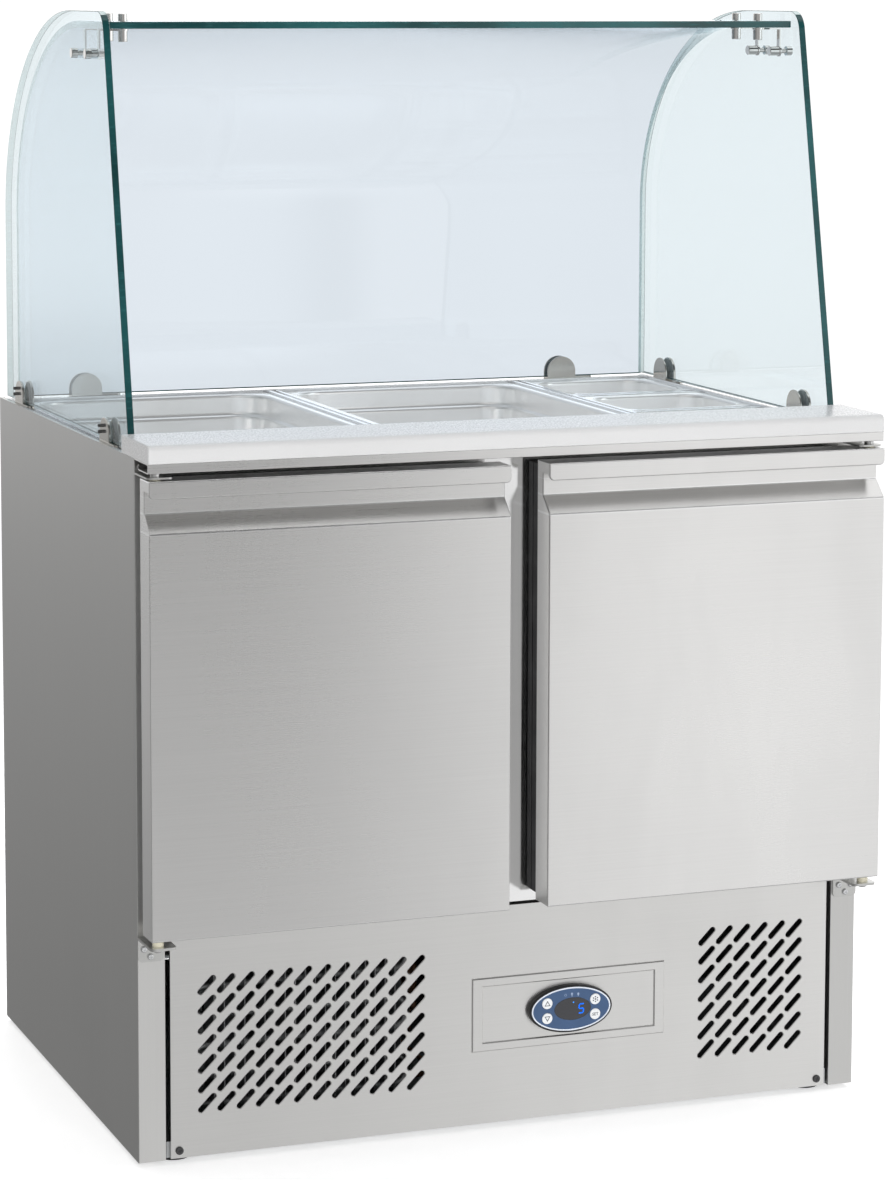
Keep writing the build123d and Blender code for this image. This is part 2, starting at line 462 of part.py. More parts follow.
def door(side):
    x_in, x_out = DOOR_GAP / 2, HALF
    xa, xb = sorted((side * x_in, side * x_out))
    yb = Y_DOOR + DOOR_T
    z_lip = DOOR_Z1 - LIP_H
    outer = door_block(0.0, xa, xb)
    # the hook behind the lip is closed off at both ends
    for a, b in ((xa, xa + 3), (xb - 3, xb)):
        outer += box(a, b, Y_DOOR + LIP_T - 0.5, Y_DOOR + RECESS_D + 0.5, z_lip + LIP_R + 0.2, z_lip + HOOK_UP + 0.5)
    for x in (xa, xb):
        rim = [e for e in outer.edges() if abs(e.center().X - x) < 0.01 and e.bounding_box().size.X < 1e-4
               and e.center().Y < yb - 1]
        outer = fillet(rim, 1.2)
    inner = door_block(1.0, xa + 1.0, xb - 1.0)
    skin = outer - inner
    # hinge sleeves pass through the skin
    for z0, z1 in ((DOOR_Z0 - 1, 306.0), (784.3, DOOR_Z1 + 1)):
        skin -= cyl_z(side * PIN_X, PIN_Y, z0, z1, BUSH_R + RUN_FIT)
    # rear returns
    ret = box(xa, xb, yb - 1.0, yb, DOOR_Z0, DOOR_Z1) - box(xa + 9, xb - 9, yb - 2, yb + 1, DOOR_Z0 + 9, DOOR_Z1 - 9)
    skin += ret
    skin = one(skin)
    foam_d = door_block(1.0, xa + 1.0, xb - 1.0)
    foam_d -= box(xa - 1, xb + 1, yb - 3.0, yb + 1, DOOR_Z0 - 1, DOOR_Z1 + 1)
    for a, b in ((xa, xa + 3), (xb - 3, xb)):
        foam_d -= box(a, b, Y_DOOR + LIP_T - 1.6, Y_DOOR + RECESS_D + 1.6, z_lip - 1, z_lip + HOOK_UP + 1.6)
    for z0, z1 in ((DOOR_Z0 - 1, 308.0), (784.2, DOOR_Z1 + 1)):
        foam_d -= cyl_z(side * PIN_X, PIN_Y, z0, z1, BUSH_R + 1.0)
    inner_plate = box(xa + 1.1, xb - 1.1, yb - 3.0, yb - 1.0, DOOR_Z0 + 1.1, DOOR_Z1 - 1.1)
    plug = rounded(xa + 52, xb - 52, DOOR_Z0 + 52, DOOR_Z1 - 52, 0, 7.0, 14.0)
    plug = Pos(0, yb - 1.5, 0) * Rot(90, 0, 0) * Pos(0, 0, -7.0) * plug
    plug = fillet(plug.faces().sort_by(Axis.Y)[-1].edges(), 3.0)
    free, hinge = side * (x_in + 4.0), side * (HALF - 14.0)
    ga, gb = sorted((free, hinge))
    groove = box(ga + 13.6, gb - 13.6, yb - 1.2, yb + 0.8, DOOR_Z0 + 19.6, DOOR_Z1 - 19.6)
    groove -= box(ga + 17, gb - 17, yb - 2, yb + 2, DOOR_Z0 + 23, DOOR_Z1 - 23)
    liner_d = one(inner_plate + plug + groove)
    # magnetic gasket: base strip, bellows and bulb, all one profile
    z0, z1 = DOOR_Z0 + 6.0, DOOR_Z1 - 6.0
    g = box(ga, gb, yb + 0.02, Y_FRAME - 0.8, z0, z1)
    g -= box(ga + 13, gb - 13, yb - 1, Y_FRAME + 1, z0 + 13, z1 - 13)
    g -= (box(ga - 1, ga + 2.6, yb + 5, yb + 10, z0 - 1, z1 + 1) + box(gb - 2.6, gb + 1, yb + 5, yb + 10, z0 - 1, z1 + 1)
          + box(ga - 1, gb + 1, yb + 5, yb + 10, z0 - 1, z0 + 2.6) + box(ga - 1, gb + 1, yb + 5, yb + 10, z1 - 2.6, z1 + 1))
    return skin, one(foam_d), liner_d, one(g)


right_door = door(1)
left_door = [mirror(s, about=Plane.YZ) for s in right_door]
for name, made in (("door_left", left_door), ("door_right", right_door)):
    for piece, shape in zip(("_skin", "_foam", "_liner", "_gasket"), made):
        save(name + piece, shape)


# ---------------------------------------------------------------- pans
def pan(xc, yc, w, l, depth, rim, r_top):
    """Gastronorm pan with a stacking shoulder, hung by its rim."""
    z_rim = LEDGE_Z + 0.2
    t = 0.9
    def shell(off):
        up = Pos(xc, yc, z_rim + 1.0) * extrude(RectangleRounded(w - 2 * rim - 2 * off, l - 2 * rim - 2 * off, r_top - off), -27.0 + off)
        low_w, low_l = w - 2 * rim - 8 - 2 * off, l - 2 * rim - 8 - 2 * off
        low = Pos(xc, yc, z_rim - 22.0) * extrude(RectangleRounded(low_w, low_l, r_top - 4 - off), -(depth - 23.0 - off), taper=4)
        bottom = low.edges().group_by(Axis.Z)[0]
        low = fillet(bottom, 11.0 - off)
        return up + low
    outer = shell(0.0)
    inner = shell(t)
    flange = Pos(xc, yc, z_rim) * extrude(RectangleRounded(w, l, 9.0), 1.0)
    bead = Pos(xc, yc, z_rim) * extrude(RectangleRounded(w, l, 9.0), 2.0) - Pos(xc, yc, z_rim) * extrude(RectangleRounded(w - 3.0, l - 3.0, 8.0), 3.0)
    p = (outer + flange + bead) - inner
    return one(p)


PAN1_X = -WELL_HALF + 0.5 + PAN_W / 2
PAN2_X = PAN1_X + PAN_W + BAR_W
PAN3_X = PAN2_X + PAN_W / 2 + BAR_W + SIXTH_W / 2
PAN_Y = (WELL_Y0 + WELL_Y1) / 2
save("gn_pan_left", pan(PAN1_X, PAN_Y, PAN_W - 1.0, PAN_L - 1.0, PAN_DEPTH, 11.0, 42.0))
save("gn_pan_middle", pan(PAN2_X, PAN_Y, PAN_W - 1.0, PAN_L - 1.0, PAN_DEPTH, 11.0, 42.0))
for k, name in ((1, "rear"), (0, "middle"), (-1, "front")):
    save("gn_pan_sixth_" + name,
         pan(PAN3_X, PAN_Y + k * (SIXTH_L + SHORT_BAR_W), SIXTH_W - 1.0, SIXTH_L - 1.0, PAN_DEPTH, 10.0, 30.0))

bars = []
for xc in (PAN1_X + PAN_W / 2 + BAR_W / 2, PAN2_X + PAN_W / 2 + BAR_W / 2):
    b = box(xc - 16, xc + 16, WELL_Y0 + LEDGE + 0.2, WELL_Y1 - LEDGE - 0.2, LEDGE_Z - SHEET, LEDGE_Z)
    hat = box(xc - 8.0, xc + 8.0, WELL_Y0 + 0.2, WELL_Y1 - 0.2, LEDGE_Z, LEDGE_Z + 4.4)
    hat = fillet([e for e in hat.edges().filter_by(Axis.Y) if e.center().Z > LEDGE_Z + 4], 1.2)
    hat -= box(xc - 2.6, xc + 2.6, WELL_Y0 - 1, WELL_Y1 + 1, LEDGE_Z + 1.6, LEDGE_Z + 6)
    b += hat
    for sx in (-1, 1):
        lo, hi = sorted((xc + sx * 5.0, xc + sx * 6.2))
        b += box(lo, hi, WELL_Y0 + LEDGE + 0.2, WELL_Y1 - LEDGE - 0.2, LEDGE_Z - 14, LEDGE_Z - SHEET)
    bars.append(one(b))
save("divider_bars", *bars)

shorts = []
BAR2_X = PAN2_X + PAN_W / 2 + BAR_W / 2
for k in (0.5, -0.5):
    yc = PAN_Y + k * (SIXTH_L + SHORT_BAR_W)
    b = box(BAR2_X + 16.2, WELL_HALF - LEDGE - 0.2, yc - 18.5, yc + 18.5, LEDGE_Z - SHEET, LEDGE_Z)
    hat = box(BAR2_X + 8.3, WELL_HALF - 0.3, yc - 10.2, yc + 10.2, LEDGE_Z, LEDGE_Z + 3.2)
    hat = fillet([e for e in hat.edges().filter_by(Axis.X) if e.center().Z > LEDGE_Z + 3], 1.0)
    hat -= box(BAR2_X + 14, WELL_HALF - 6, yc - 6.0, yc + 6.0, LEDGE_Z + 1.4, LEDGE_Z + 6)
    b += hat
    b += box(BAR2_X + 16.2, WELL_HALF - LEDGE - 0.2, yc - 6.0, yc - 4.8, LEDGE_Z - 12, LEDGE_Z - SHEET)
    shorts.append(one(b))
save("short_bars", *shorts)

# ---------------------------------------------------------------- cutting board
board = box(-HALF, HALF, BOARD_Y0, BOARD_Y1, Z_TOP + 0.2, Z_TOP + 0.2 + BOARD_T)
board = fillet([e for e in board.edges().filter_by(Axis.X)
                if e.center().Y < BOARD_Y0 + 1 and e.center().Z > Z_TOP + 5], 7.0)
board = fillet([e for e in board.edges().filter_by(Axis.Z)], 2.0)
save("cutting_board", one(board))


# ---------------------------------------------------------------- canopy glass
def canopy_line(top, rear):
    """Points along the quarter ellipse from the upright rear to the flat top."""
    pts = []
    a, b = rear - ARC_Y, top - ARC_Z
    n = 14
    for i in range(n + 1):
        t = math.pi / 2 * i / n
        pts.append((ARC_Y + a * math.cos(t), ARC_Z + b * math.sin(t)))
    return pts


def side_glass(side):
    x0 = SIDE_GLASS_X - GLASS_T if side > 0 else -SIDE_GLASS_X
    pts = canopy_line(SIDE_TOP, SIDE_REAR)
    slope = 0.2047
    y_low = BOARD_Y1 + 4.6                   # front edge height of the board top
    y_top = y_low + slope * (SIDE_TOP - (Z_TOP + 20.0))
    with BuildSketch(Plane.YZ) as sk:
        with BuildLine():
            Line((SIDE_REAR, GLASS_Z0 + 10), (SIDE_REAR, ARC_Z))
            Spline(*pts, tangents=((0, 1), (-1, 0)))
            Line((ARC_Y, SIDE_TOP), (y_top + 26, SIDE_TOP))
            c = (y_top + 26, SIDE_TOP)
            # rounded top front corner
            q = (y_top - slope * 26, SIDE_TOP - 26)
            Bezier(c, (y_top + 8, SIDE_TOP), (y_top - slope * 4, SIDE_TOP - 6), q)
            Line(q, (y_low, Z_TOP + 20))
            Line((y_low, Z_TOP + 20), (y_low, GLASS_Z0))
            Line((y_low, GLASS_Z0), (SIDE_REAR - 10, GLASS_Z0))
            Line((SIDE_REAR - 10, GLASS_Z0), (SIDE_REAR, GLASS_Z0 + 10))
        make_face()
    g = extrude(sk.sketch, GLASS_T)
    g = Pos(x0, 0, 0) * g
    for y in STRAP_Y:
        g -= cyl_x(-500, 500, y, STRAP_Z, 5.0)
    return one(g)


save("side_glasses", side_glass(-1), side_glass(1))

outer_pts = canopy_line(CURVE_TOP, CURVE_REAR)
inner_pts = canopy_line(CURVE_TOP - GLASS_T, CURVE_REAR - GLASS_T)
with BuildSketch(Plane.YZ) as sk:
    with BuildLine():
        Line((CURVE_REAR, GLASS_Z0), (CURVE_REAR, ARC_Z))
        Spline(*outer_pts, tangents=((0, 1), (-1, 0)))
        Line((ARC_Y, CURVE_TOP), (CURVE_FRONT, CURVE_TOP))
        Line((CURVE_FRONT, CURVE_TOP), (CURVE_FRONT, CURVE_TOP - GLASS_T))
        Line((CURVE_FRONT, CURVE_TOP - GLASS_T), (ARC_Y, CURVE_TOP - GLASS_T))
        Spline(*list(reversed(inner_pts)), tangents=((1, 0), (0, -1)))
        Line((CURVE_REAR - GLASS_T, ARC_Z), (CURVE_REAR - GLASS_T, GLASS_Z0))
        Line((CURVE_REAR - GLASS_T, GLASS_Z0), (CURVE_REAR, GLASS_Z0))
    make_face()
curved = Pos(-CURVE_HALF, 0, 0) * extrude(sk.sketch, 2 * CURVE_HALF)
curved = fillet([e for e in curved.edges().filter_by(Axis.Z)
                 if e.center().Y < CURVE_FRONT + 1 and abs(abs(e.center().X) - CURVE_HALF) < 0.1], 6.0)
for s in (-1, 1):
    for y in STRAP_Y:
        curved -= cyl_z(s * STRAP_X, y, CURVE_UNDER - 10, CURVE_TOP + 10, 5.0)
save("curved_glass", one(curved))

# ---------------------------------------------------------------- glass clamps
CL_W, CL_T, CL_FOOT = 40.0, 3.0, 26.0
clamps, pads, csets = [], [], []


def clamp():
    """D-shaped clamp in its own frame: glass plane normal is local X, width along local Y.
    The glass fills x -4..4; outer plate on +X."""
    def plate(x0, x1, r, ease=0.0):
        p = box(x0, x1, -r, r, 2.0, 9.0) + Pos((x0 + x1) / 2, 0, 9.0) * Rot(0, 90, 0) * Cylinder(r, x1 - x0)
        p &= box(x0, x1, -r, r, 2.0, 9.0 + r)
        if ease:
            p = fillet([e for e in p.edges() if e.center().Z > 2.5 and abs(e.center().X - (x1 if x0 > 0 else x0)) < 0.01
                        and e.bounding_box().size.X < 1e-4], ease)
        return p
    r = CL_W / 2
    gl = GLASS_T / 2
    pad_t, back_t = 1.0, 2.0
    out = plate(gl + pad_t, gl + pad_t + CL_T, r, 0.7)
    inn = plate(-gl - pad_t - back_t, -gl - pad_t, r, 0.5)
    web = box(-gl - pad_t - back_t, gl + pad_t + CL_T, -r, r, 0.0, 1.8)
    web += box(-gl - pad_t - back_t, -gl - pad_t, -r, r, 1.5, 2.5) + box(gl + pad_t, gl + pad_t + CL_T, -r, r, 1.5, 2.5)
    toe = box(gl - 6.0, gl + pad_t + CL_T, -r - CL_FOOT, -r + 1, 0.0, 1.8)
    toe = fillet([e for e in toe.edges().filter_by(Axis.Z) if e.center().Y < -r - 10], 4.2)
    c = out + inn + web + toe
    for y, z in ((8.0, 12.0), (8.0, 19.0)):
        c -= cyl_x(gl, gl + 8, y, z, 2.02)
    p1 = plate(gl, gl + pad_t, r - 1.5)
    p2 = plate(-gl - pad_t, -gl, r - 1.5)
    sets = []
    for y, z in ((8.0, 12.0), (8.0, 19.0)):
        q = cyl_x(gl + pad_t + 0.1, gl + pad_t + CL_T + 4.8, y, z, 2.0)
        q = chamfer([e for e in q.edges().filter_by(GeomType.CIRCLE) if e.center().X > gl + 8], 0.4)
        q -= Pos(gl + pad_t + CL_T + 4.8, y, z) * Rot(0, 90, 0) * extrude(RegularPolygon(1.0, 6), 2.0, both=True)
        sets.append(one(q))
    return one(c), [one(p1), one(p2)], sets


spots = []
for y in SIDE_CLAMP_Y:
    for s in (-1, 1):
        # outer plate faces outwards; the toe always points to the front
        spots.append((s * (SIDE_GLASS_X - GLASS_T / 2), y, s))
for xm, ym, s in spots:
    c, p, q = clamp()
    if s > 0:
        loc = Pos(xm, ym, Z_TOP)
        clamps.append(loc * c)
        pads += [loc * k for k in p]
        csets += [loc * k for k in q]
    else:
        loc = Pos(xm, ym, Z_TOP)
        clamps.append(loc * mirror(c, Plane.YZ))
        pads += [loc * mirror(k, Plane.YZ) for k in p]
        csets += [loc * mirror(k, Plane.YZ) for k in q]
for x in REAR_CLAMP_X:
    c, p, q = clamp()
    # local +X turned to +Y: the outer plate faces the rear, the toe runs along +X
    loc = Pos(x, CURVE_REAR - GLASS_T / 2, Z_TOP) * Rot(0, 0, 90)
    clamps.append(loc * c)
    pads += [loc * k for k in p]
    csets += [loc * k for k in q]
save("glass_clamps", *clamps)
save("clamp_pads", *pads)
save("clamp_screws", *csets)

# ---------------------------------------------------------------- canopy corner connectors
straps, standoffs = [], []
for s in (-1, 1):
    for y in STRAP_Y:
        x_in = s * (SIDE_GLASS_X - GLASS_T - 0.4)           # strap lies against the side glass
        xo, xi = sorted((x_in, x_in - s * 1.8))
        leg = box(xo, xi, y - 4, y + 4, STRAP_Z, CURVE_UNDER - 0.8)
        lobe = cyl_x(xo, xi, y, STRAP_Z, 7.0)
        xa, xb = sorted((x_in, s * STRAP_X))
        top = box(xa, xb, y - 4, y + 4, CURVE_UNDER - 2.6, CURVE_UNDER - 0.8)
        ring = cyl_z(s * STRAP_X, y, CURVE_UNDER - 2.6, CURVE_UNDER - 0.8, 7.0)
        st = leg + lobe + top + ring
        st -= cyl_x(min(xo, xi) - 1, max(xo, xi) + 1, y, STRAP_Z, 3.02)
        st -= cyl_z(s * STRAP_X, y, CURVE_UNDER - 7, CURVE_UNDER + 3, 3.02)
        straps.append(one(st))
        # upright pair through the top glass
        cap = cyl_z(s * STRAP_X, y, CURVE_TOP + 0.3, CURVE_TOP + 9.0, 5.8)
        cap = chamfer(cap.edges().group_by(Axis.Z)[-1], 0.6)
        cap += cyl_z(s * STRAP_X, y, CURVE_UNDER - 7.0, CURVE_TOP + 0.4, 3.0)
        standoffs.append(one(cap))
        bar = cyl_z(s * STRAP_X, y, CURVE_UNDER - 15.5, CURVE_UNDER - 2.8, 5.8)
        bar = chamfer(bar.edges().group_by(Axis.Z)[0], 0.6)
        bar -= cyl_z(s * STRAP_X, y, CURVE_UNDER - 7.1, CURVE_UNDER - 1, 3.02)
        standoffs.append(one(bar))
        # level pair through the side glass
        x_out = s * (SIDE_GLASS_X + 0.3)
        a, b = sorted((x_out, x_out + s * 7.5))
        cap = cyl_x(a, b, y, STRAP_Z, 5.8)
        cap = chamfer([e for e in cap.edges().filter_by(GeomType.CIRCLE) if abs(e.center().X - (x_out + s * 7.5)) < 0.01], 0.6)
        a, b = sorted((x_out + s * 0.1, s * (SIDE_GLASS_X - GLASS_T - 6.5)))
        cap += cyl_x(a, b, y, STRAP_Z, 3.0)
        standoffs.append(one(cap))
        x_b = s * (SIDE_GLASS_X - GLASS_T - 2.4)
        a, b = sorted((x_b, x_b - s * 12.5))
        bar = cyl_x(a, b, y, STRAP_Z, 5.8)
        bar = chamfer([e for e in bar.edges().filter_by(GeomType.CIRCLE) if abs(e.center().X - (x_b - s * 12.5)) < 0.01], 0.6)
        a, b = sorted((x_b + s * 1, s * (SIDE_GLASS_X - GLASS_T - 6.6)))
        bar -= cyl_x(a, b, y, STRAP_Z, 3.02)
        standoffs.append(one(bar))
save("corner_straps", *straps)
save("corner_standoffs", *standoffs)

# ---------------------------------------------------------------- shelves
shelves = []
SHELF_Z = 520.0
for s in (-1, 1):
    xa, xb = sorted((s * 12.0, s * 400.0))
    sh = None
    for x in (xa + 2.5, xb - 2.5):
        w = cyl_y(x, -225.0, 175.0, SHELF_Z, 2.5)
        sh = w if sh is None else sh + w
    for y in (-225.0, -92.0, 41.0, 175.0):
        sh += cyl_x(xa + 0.5, xb - 0.5, y, SHELF_Z, 2.5)
    n = 13
    for i in range(1, n + 1):
        x = xa + (xb - xa) * i / (n + 1)
        sh += cyl_y(x, -226.0, 176.0, SHELF_Z + 2.6, 1.6)
    shelves.append(one(sh))
save("wire_shelves", *shelves)

sup = []
for s in (-1, 1):
    lo, hi = sorted((s * (LIN_X - 1), s * (LIN_X - 2.2)))
    r = box(lo, hi, -250.0, 200.0, SHELF_Z - 32, SHELF_Z - 2.7)
    lo2, hi2 = sorted((s * (LIN_X - 1), s * (LIN_X - 20)))
    r += box(lo2, hi2, -250.0, 200.0, SHELF_Z - 3.9, SHELF_Z - 2.7)
    sup.append(one(r))
mid = box(-0.6, 0.6, -262.9, 203.8, SHELF_Z - 32, SHELF_Z - 2.7) + box(-22, 22, -250.0, 200.0, SHELF_Z - 3.9, SHELF_Z - 2.7)
mid += box(-14, 14, -262.95, -261.7, SHELF_Z - 32, SHELF_Z - 2.7)
sup.append(one(mid))
save("shelf_supports", *sup)

# ---------------------------------------------------------------- evaporator
EV_Z = 530.0
cov = box(-230, 230, 204.0, 288.9, 350.0, 715.0)
cov -= box(-228.8, 228.8, 205.2, 300.0, 351.2, 713.8)
cov -= cyl_y(0, 200, 210, EV_Z, 80.0)
for s in (-1, 1):
    for k in range(8):
        z = 400.0 + 34 * k
        xa, xb = sorted((s * 110.0, s * 205.0))
        cov -= box(xa, xb, 200, 210, z, z + 8)
cov -= box(-120, 190, 215, 250, 349, 352)
cov -= cyl_z(-170.0, 274.0, 345, 355, 5.2) + cyl_z(-140.0, 274.0, 345, 355, 3.2)
save("evaporator_cover", one(cov))

def pipe(points, r, bend):
    path = FilletPolyline(*points, radius=bend)
    start = Plane(origin=points[0], z_dir=Vector(*points[1]) - Vector(*points[0]))
    return one(sweep(start * Circle(r), path=path))


def serpentine(x0, x1, y, levels, r, bend):
    pts = []
    for i, z in enumerate(levels):
        pts += [(x0, y, z), (x1, y, z)] if i % 2 == 0 else [(x1, y, z), (x0, y, z)]
    return pipe(pts, r, bend)


coil = serpentine(-206.0, 206.0, 272.0, (392.0, 448.0, 504.0, 560.0, 616.0, 672.0), 5.0, 20.0)
for i in range(15):
    x = -182.0 + 26.0 * i
    coil += box(x - 0.6, x + 0.6, 258.0, 286.0, 370.0, 698.0)
save("evaporator_coil", one(coil))


def fan(y_back, y_front, xc, zc, r_tip, r_hub):
    """Axial rotor with its own shaft; the motor is behind it on +Y."""
    rotor = cyl_y(xc, y_front, y_front + 16, zc, r_hub)
    for k in range(5):
        blade = Pos(xc, y_front + 8, zc) * Rot(0, 72 * k, 0) * Pos((r_tip + r_hub) / 2 - 2, 0, 0) * Rot(28, 0, 0) * Box(r_tip - r_hub + 4, 1.6, 30)
        rotor += blade
    limit = cyl_y(xc, y_front - 8, y_front + 20, zc, r_tip)
    rotor &= limit
    rotor += cyl_y(xc, y_front + 4, y_back, zc, 3.0)
    return one(rotor)


def motor(y0, y1, xc, zc, r, reach):
    """Fan motor with four spokes to its ring; the shaft bore faces -Y."""
    m = cyl_y(xc, y0, y1, zc, r)
    m = fillet([e for e in m.edges().filter_by(GeomType.CIRCLE)], 3.0)
    for k in range(4):
        m += Pos(xc, y1 - 4, zc) * Rot(0, 45 + 90 * k, 0) * Pos(reach / 2, 0, 0) * Box(reach, 3.0, 8.0)
    m -= cyl_y(xc, y0 - 1, y0 + 14, zc, 3.05)
    return one(m)


save("evaporator_fan", fan(243.0, 213.0, 0.0, EV_Z, 72.0, 20.0))

# ---------------------------------------------------------------- condensing unit
CO_X0, CO_X1, CO_Z0, CO_Z1 = -372.0, -112.0, 34.0, 244.0
CF_X, CF_Z = (CO_X0 + CO_X1) / 2, (CO_Z0 + CO_Z1) / 2
cond = serpentine(CO_X0, CO_X1, -242.0, (52.0, 87.0, 122.0, 157.0, 192.0, 227.0), 5.0, 14.0)
for i in range(19):
    x = CO_X0 + 20 + (CO_X1 - CO_X0 - 40) * i / 18
    cond += box(x - 0.6, x + 0.6, -262.0, -222.0, CO_Z0, CO_Z1)
cond += box(CO_X0 + 15, CO_X1 - 15, -262.5, -221.7, 33.0, 35.0)
for x in (CO_X0 + 15, CO_X1 - 17):
    cond += box(x, x + 2, -262.5, -221.7, 8.9, 34.0)
save("condenser_coil", one(cond))

shroud = box(CO_X0 - 2, CO_X1 + 2, -221.5, -170.0, 8.9, CO_Z1 + 2)
shroud -= box(CO_X0 - 0.8, CO_X1 + 0.8, -225.0, -171.2, 10.1, CO_Z1 + 0.8)
shroud -= cyl_y(CF_X, -180, -160, CF_Z, 98.0)
save("condenser_shroud", one(shroud))
save("condenser_fan", fan(-163.0, -205.0, CF_X, CF_Z, 92.0, 26.0))
m1 = motor(-176.0, -120.0, CF_X, CF_Z, 34.0, 104.0)
for k in range(4):
    a = math.radians(45 + 90 * k)
    px, pz = CF_X + 102 * math.cos(a), CF_Z + 102 * math.sin(a)
    m1 += cyl_y(px, -170.0, -122.0, pz, 4.0)
m2 = motor(232.0, 256.0, 0.0, EV_Z, 26.0, 104.0)
for k in range(4):
    a = math.radians(45 + 90 * k)
    px, pz = 102 * math.cos(a), EV_Z + 102 * math.sin(a)
    m2 += cyl_y(px, 205.2, 253.5, pz, 4.0)
save("fan_motors", one(m1), one(m2))

# hermetic compressor on its foot plate
CP_X, CP_Y = -190.0, 95.0
comp = Pos(CP_X, CP_Y, 120.0) * Sphere(82.0) + Pos(CP_X, CP_Y, 78.0) * Sphere(82.0)
comp += cyl_z(CP_X, CP_Y, 78.0, 120.0, 82.0)
comp = comp & box(CP_X - 90, CP_X + 90, CP_Y - 84, CP_Y + 84, 34.0, 205.0)
comp += box(CP_X - 85, CP_X + 85, CP_Y - 60, CP_Y + 60, 30.0, 34.5)
for sx in (-1, 1):
    for sy in (-1, 1):
        comp += cyl_z(CP_X + sx * 72, CP_Y + sy * 48, 8.8, 31.0, 9.0)
comp += box(CP_X - 30, CP_X + 30, CP_Y - 104, CP_Y - 76, 80.0, 140.0)
save("compressor", one(comp))

# pipework: straight runs joined by tangent arcs
discharge = pipe([(CP_X + 60, CP_Y - 79.0, 60), (CP_X + 60, CP_Y - 150, 60), (CO_X1 + 40, CP_Y - 150, 60),
                  (CO_X1 + 40, -242.0, 60), (CO_X1 + 5.4, -242.0, 60)], 3.2, 14.0)
liquid = pipe([(CO_X1 + 5.4, -242.0, 210), (CO_X1 + 70, -242.0, 210), (CO_X1 + 70, -60.0, 210), (CO_X1 + 70, -60.0, 176)],
              3.2, 12.0)
drier = cyl_z(CO_X1 + 70, -60.0, 84.0, 176.0, 9.5)
drier = fillet(drier.edges(), 6.0)
feed = pipe([(CO_X1 + 70, -60.0, 84), (CO_X1 + 70, -60.0, 50), (CO_X1 + 70, 274.0, 50), (-140.0, 274.0, 50), (-140.0, 274.0, 366.0)],
            2.4, 12.0)
suction = pipe([(-170.0, 274.0, 366.0), (-170.0, 274.0, 110.0), (-170.0, CP_Y + 88.0, 110.0)], 4.4, 18.0)
save("refrigerant_pipes", discharge, liquid, one(drier), feed, suction)

# condensate tray under the drain
dish = rounded(20, 190, 180, 320, 8.9, 48.0, 16.0) - rounded(22, 188, 182, 318, 11.0, 50.0, 14.0)
drain = cyl_z(DRAIN[0], DRAIN[1], 40.0, 349.0, 7.0) - cyl_z(DRAIN[0], DRAIN[1], 38.0, 351.0, 5.5)
save("condensate_tray", one(dish), one(drain))

term = rounded(250, 370, -140, -50, 8.9, 110.0, 6.0) - rounded(252.5, 367.5, -137.5, -52.5, 11.5, 107.5, 4.0)
save("terminal_box", one(term))

gl = cyl_y(380.0, 330.0, COVER_Y + 3.6, 60.0, 8.0)
gl += Pos(380.0, COVER_Y, 60.0) * Rot(-90, 0, 0) * extrude(RegularPolygon(11.0, 6, major_radius=False), 3.6)
gl += Pos(380.0, Y_BACK, 60.0) * Rot(90, 0, 0) * extrude(RegularPolygon(11.0, 6, major_radius=False), 6.0)
gl -= cyl_y(380.0, 320.0, 360.0, 60.0, 4.25)
save("cable_gland", one(gl))
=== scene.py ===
import bpy
import bmesh
import math
from mathutils import Matrix, Vector


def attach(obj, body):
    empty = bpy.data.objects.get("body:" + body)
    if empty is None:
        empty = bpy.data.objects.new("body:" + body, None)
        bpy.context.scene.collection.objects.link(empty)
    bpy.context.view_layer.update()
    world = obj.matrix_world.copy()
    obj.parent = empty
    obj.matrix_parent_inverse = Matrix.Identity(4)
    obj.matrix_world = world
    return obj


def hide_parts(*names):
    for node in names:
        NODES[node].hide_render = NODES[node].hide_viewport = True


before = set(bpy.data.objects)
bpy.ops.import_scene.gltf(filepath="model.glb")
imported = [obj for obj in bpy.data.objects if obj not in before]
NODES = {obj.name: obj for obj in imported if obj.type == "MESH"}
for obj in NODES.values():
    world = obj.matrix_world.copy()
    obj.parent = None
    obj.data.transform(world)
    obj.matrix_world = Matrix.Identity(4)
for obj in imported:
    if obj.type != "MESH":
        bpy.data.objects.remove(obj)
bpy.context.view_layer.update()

MM = 0.001


# ------------------------------------------------------------------ camera
def make_camera():
    """Standing about 4 m in front and to the left, a little above the worktop, turned 21 degrees."""
    data = bpy.data.cameras.new("camera")
    data.sensor_width = 36.0
    data.lens = 110.55
    data.shift_y = -0.165
    data.clip_start, data.clip_end = 0.1, 200.0
    cam = bpy.data.objects.new("camera", data)
    yaw, pitch, roll = math.radians(20.404), math.radians(-6.469), math.radians(0.148)
    fwd = Vector((math.sin(yaw) * math.cos(pitch), math.cos(yaw) * math.cos(pitch), math.sin(pitch)))
    right = Vector((math.cos(yaw), -math.sin(yaw), 0.0))
    up = right.cross(fwd)
    r2 = right * math.cos(roll) + up * math.sin(roll)
    u2 = up * math.cos(roll) - right * math.sin(roll)
    m = Matrix((
        (r2.x, u2.x, -fwd.x, -1.5176),
        (r2.y, u2.y, -fwd.y, -4.1456),
        (r2.z, u2.z, -fwd.z, 1.3363),
        (0, 0, 0, 1),
    ))
    cam.matrix_world = m
    bpy.context.scene.collection.objects.link(cam)
    bpy.context.scene.camera = cam
    return cam


camera = make_camera()


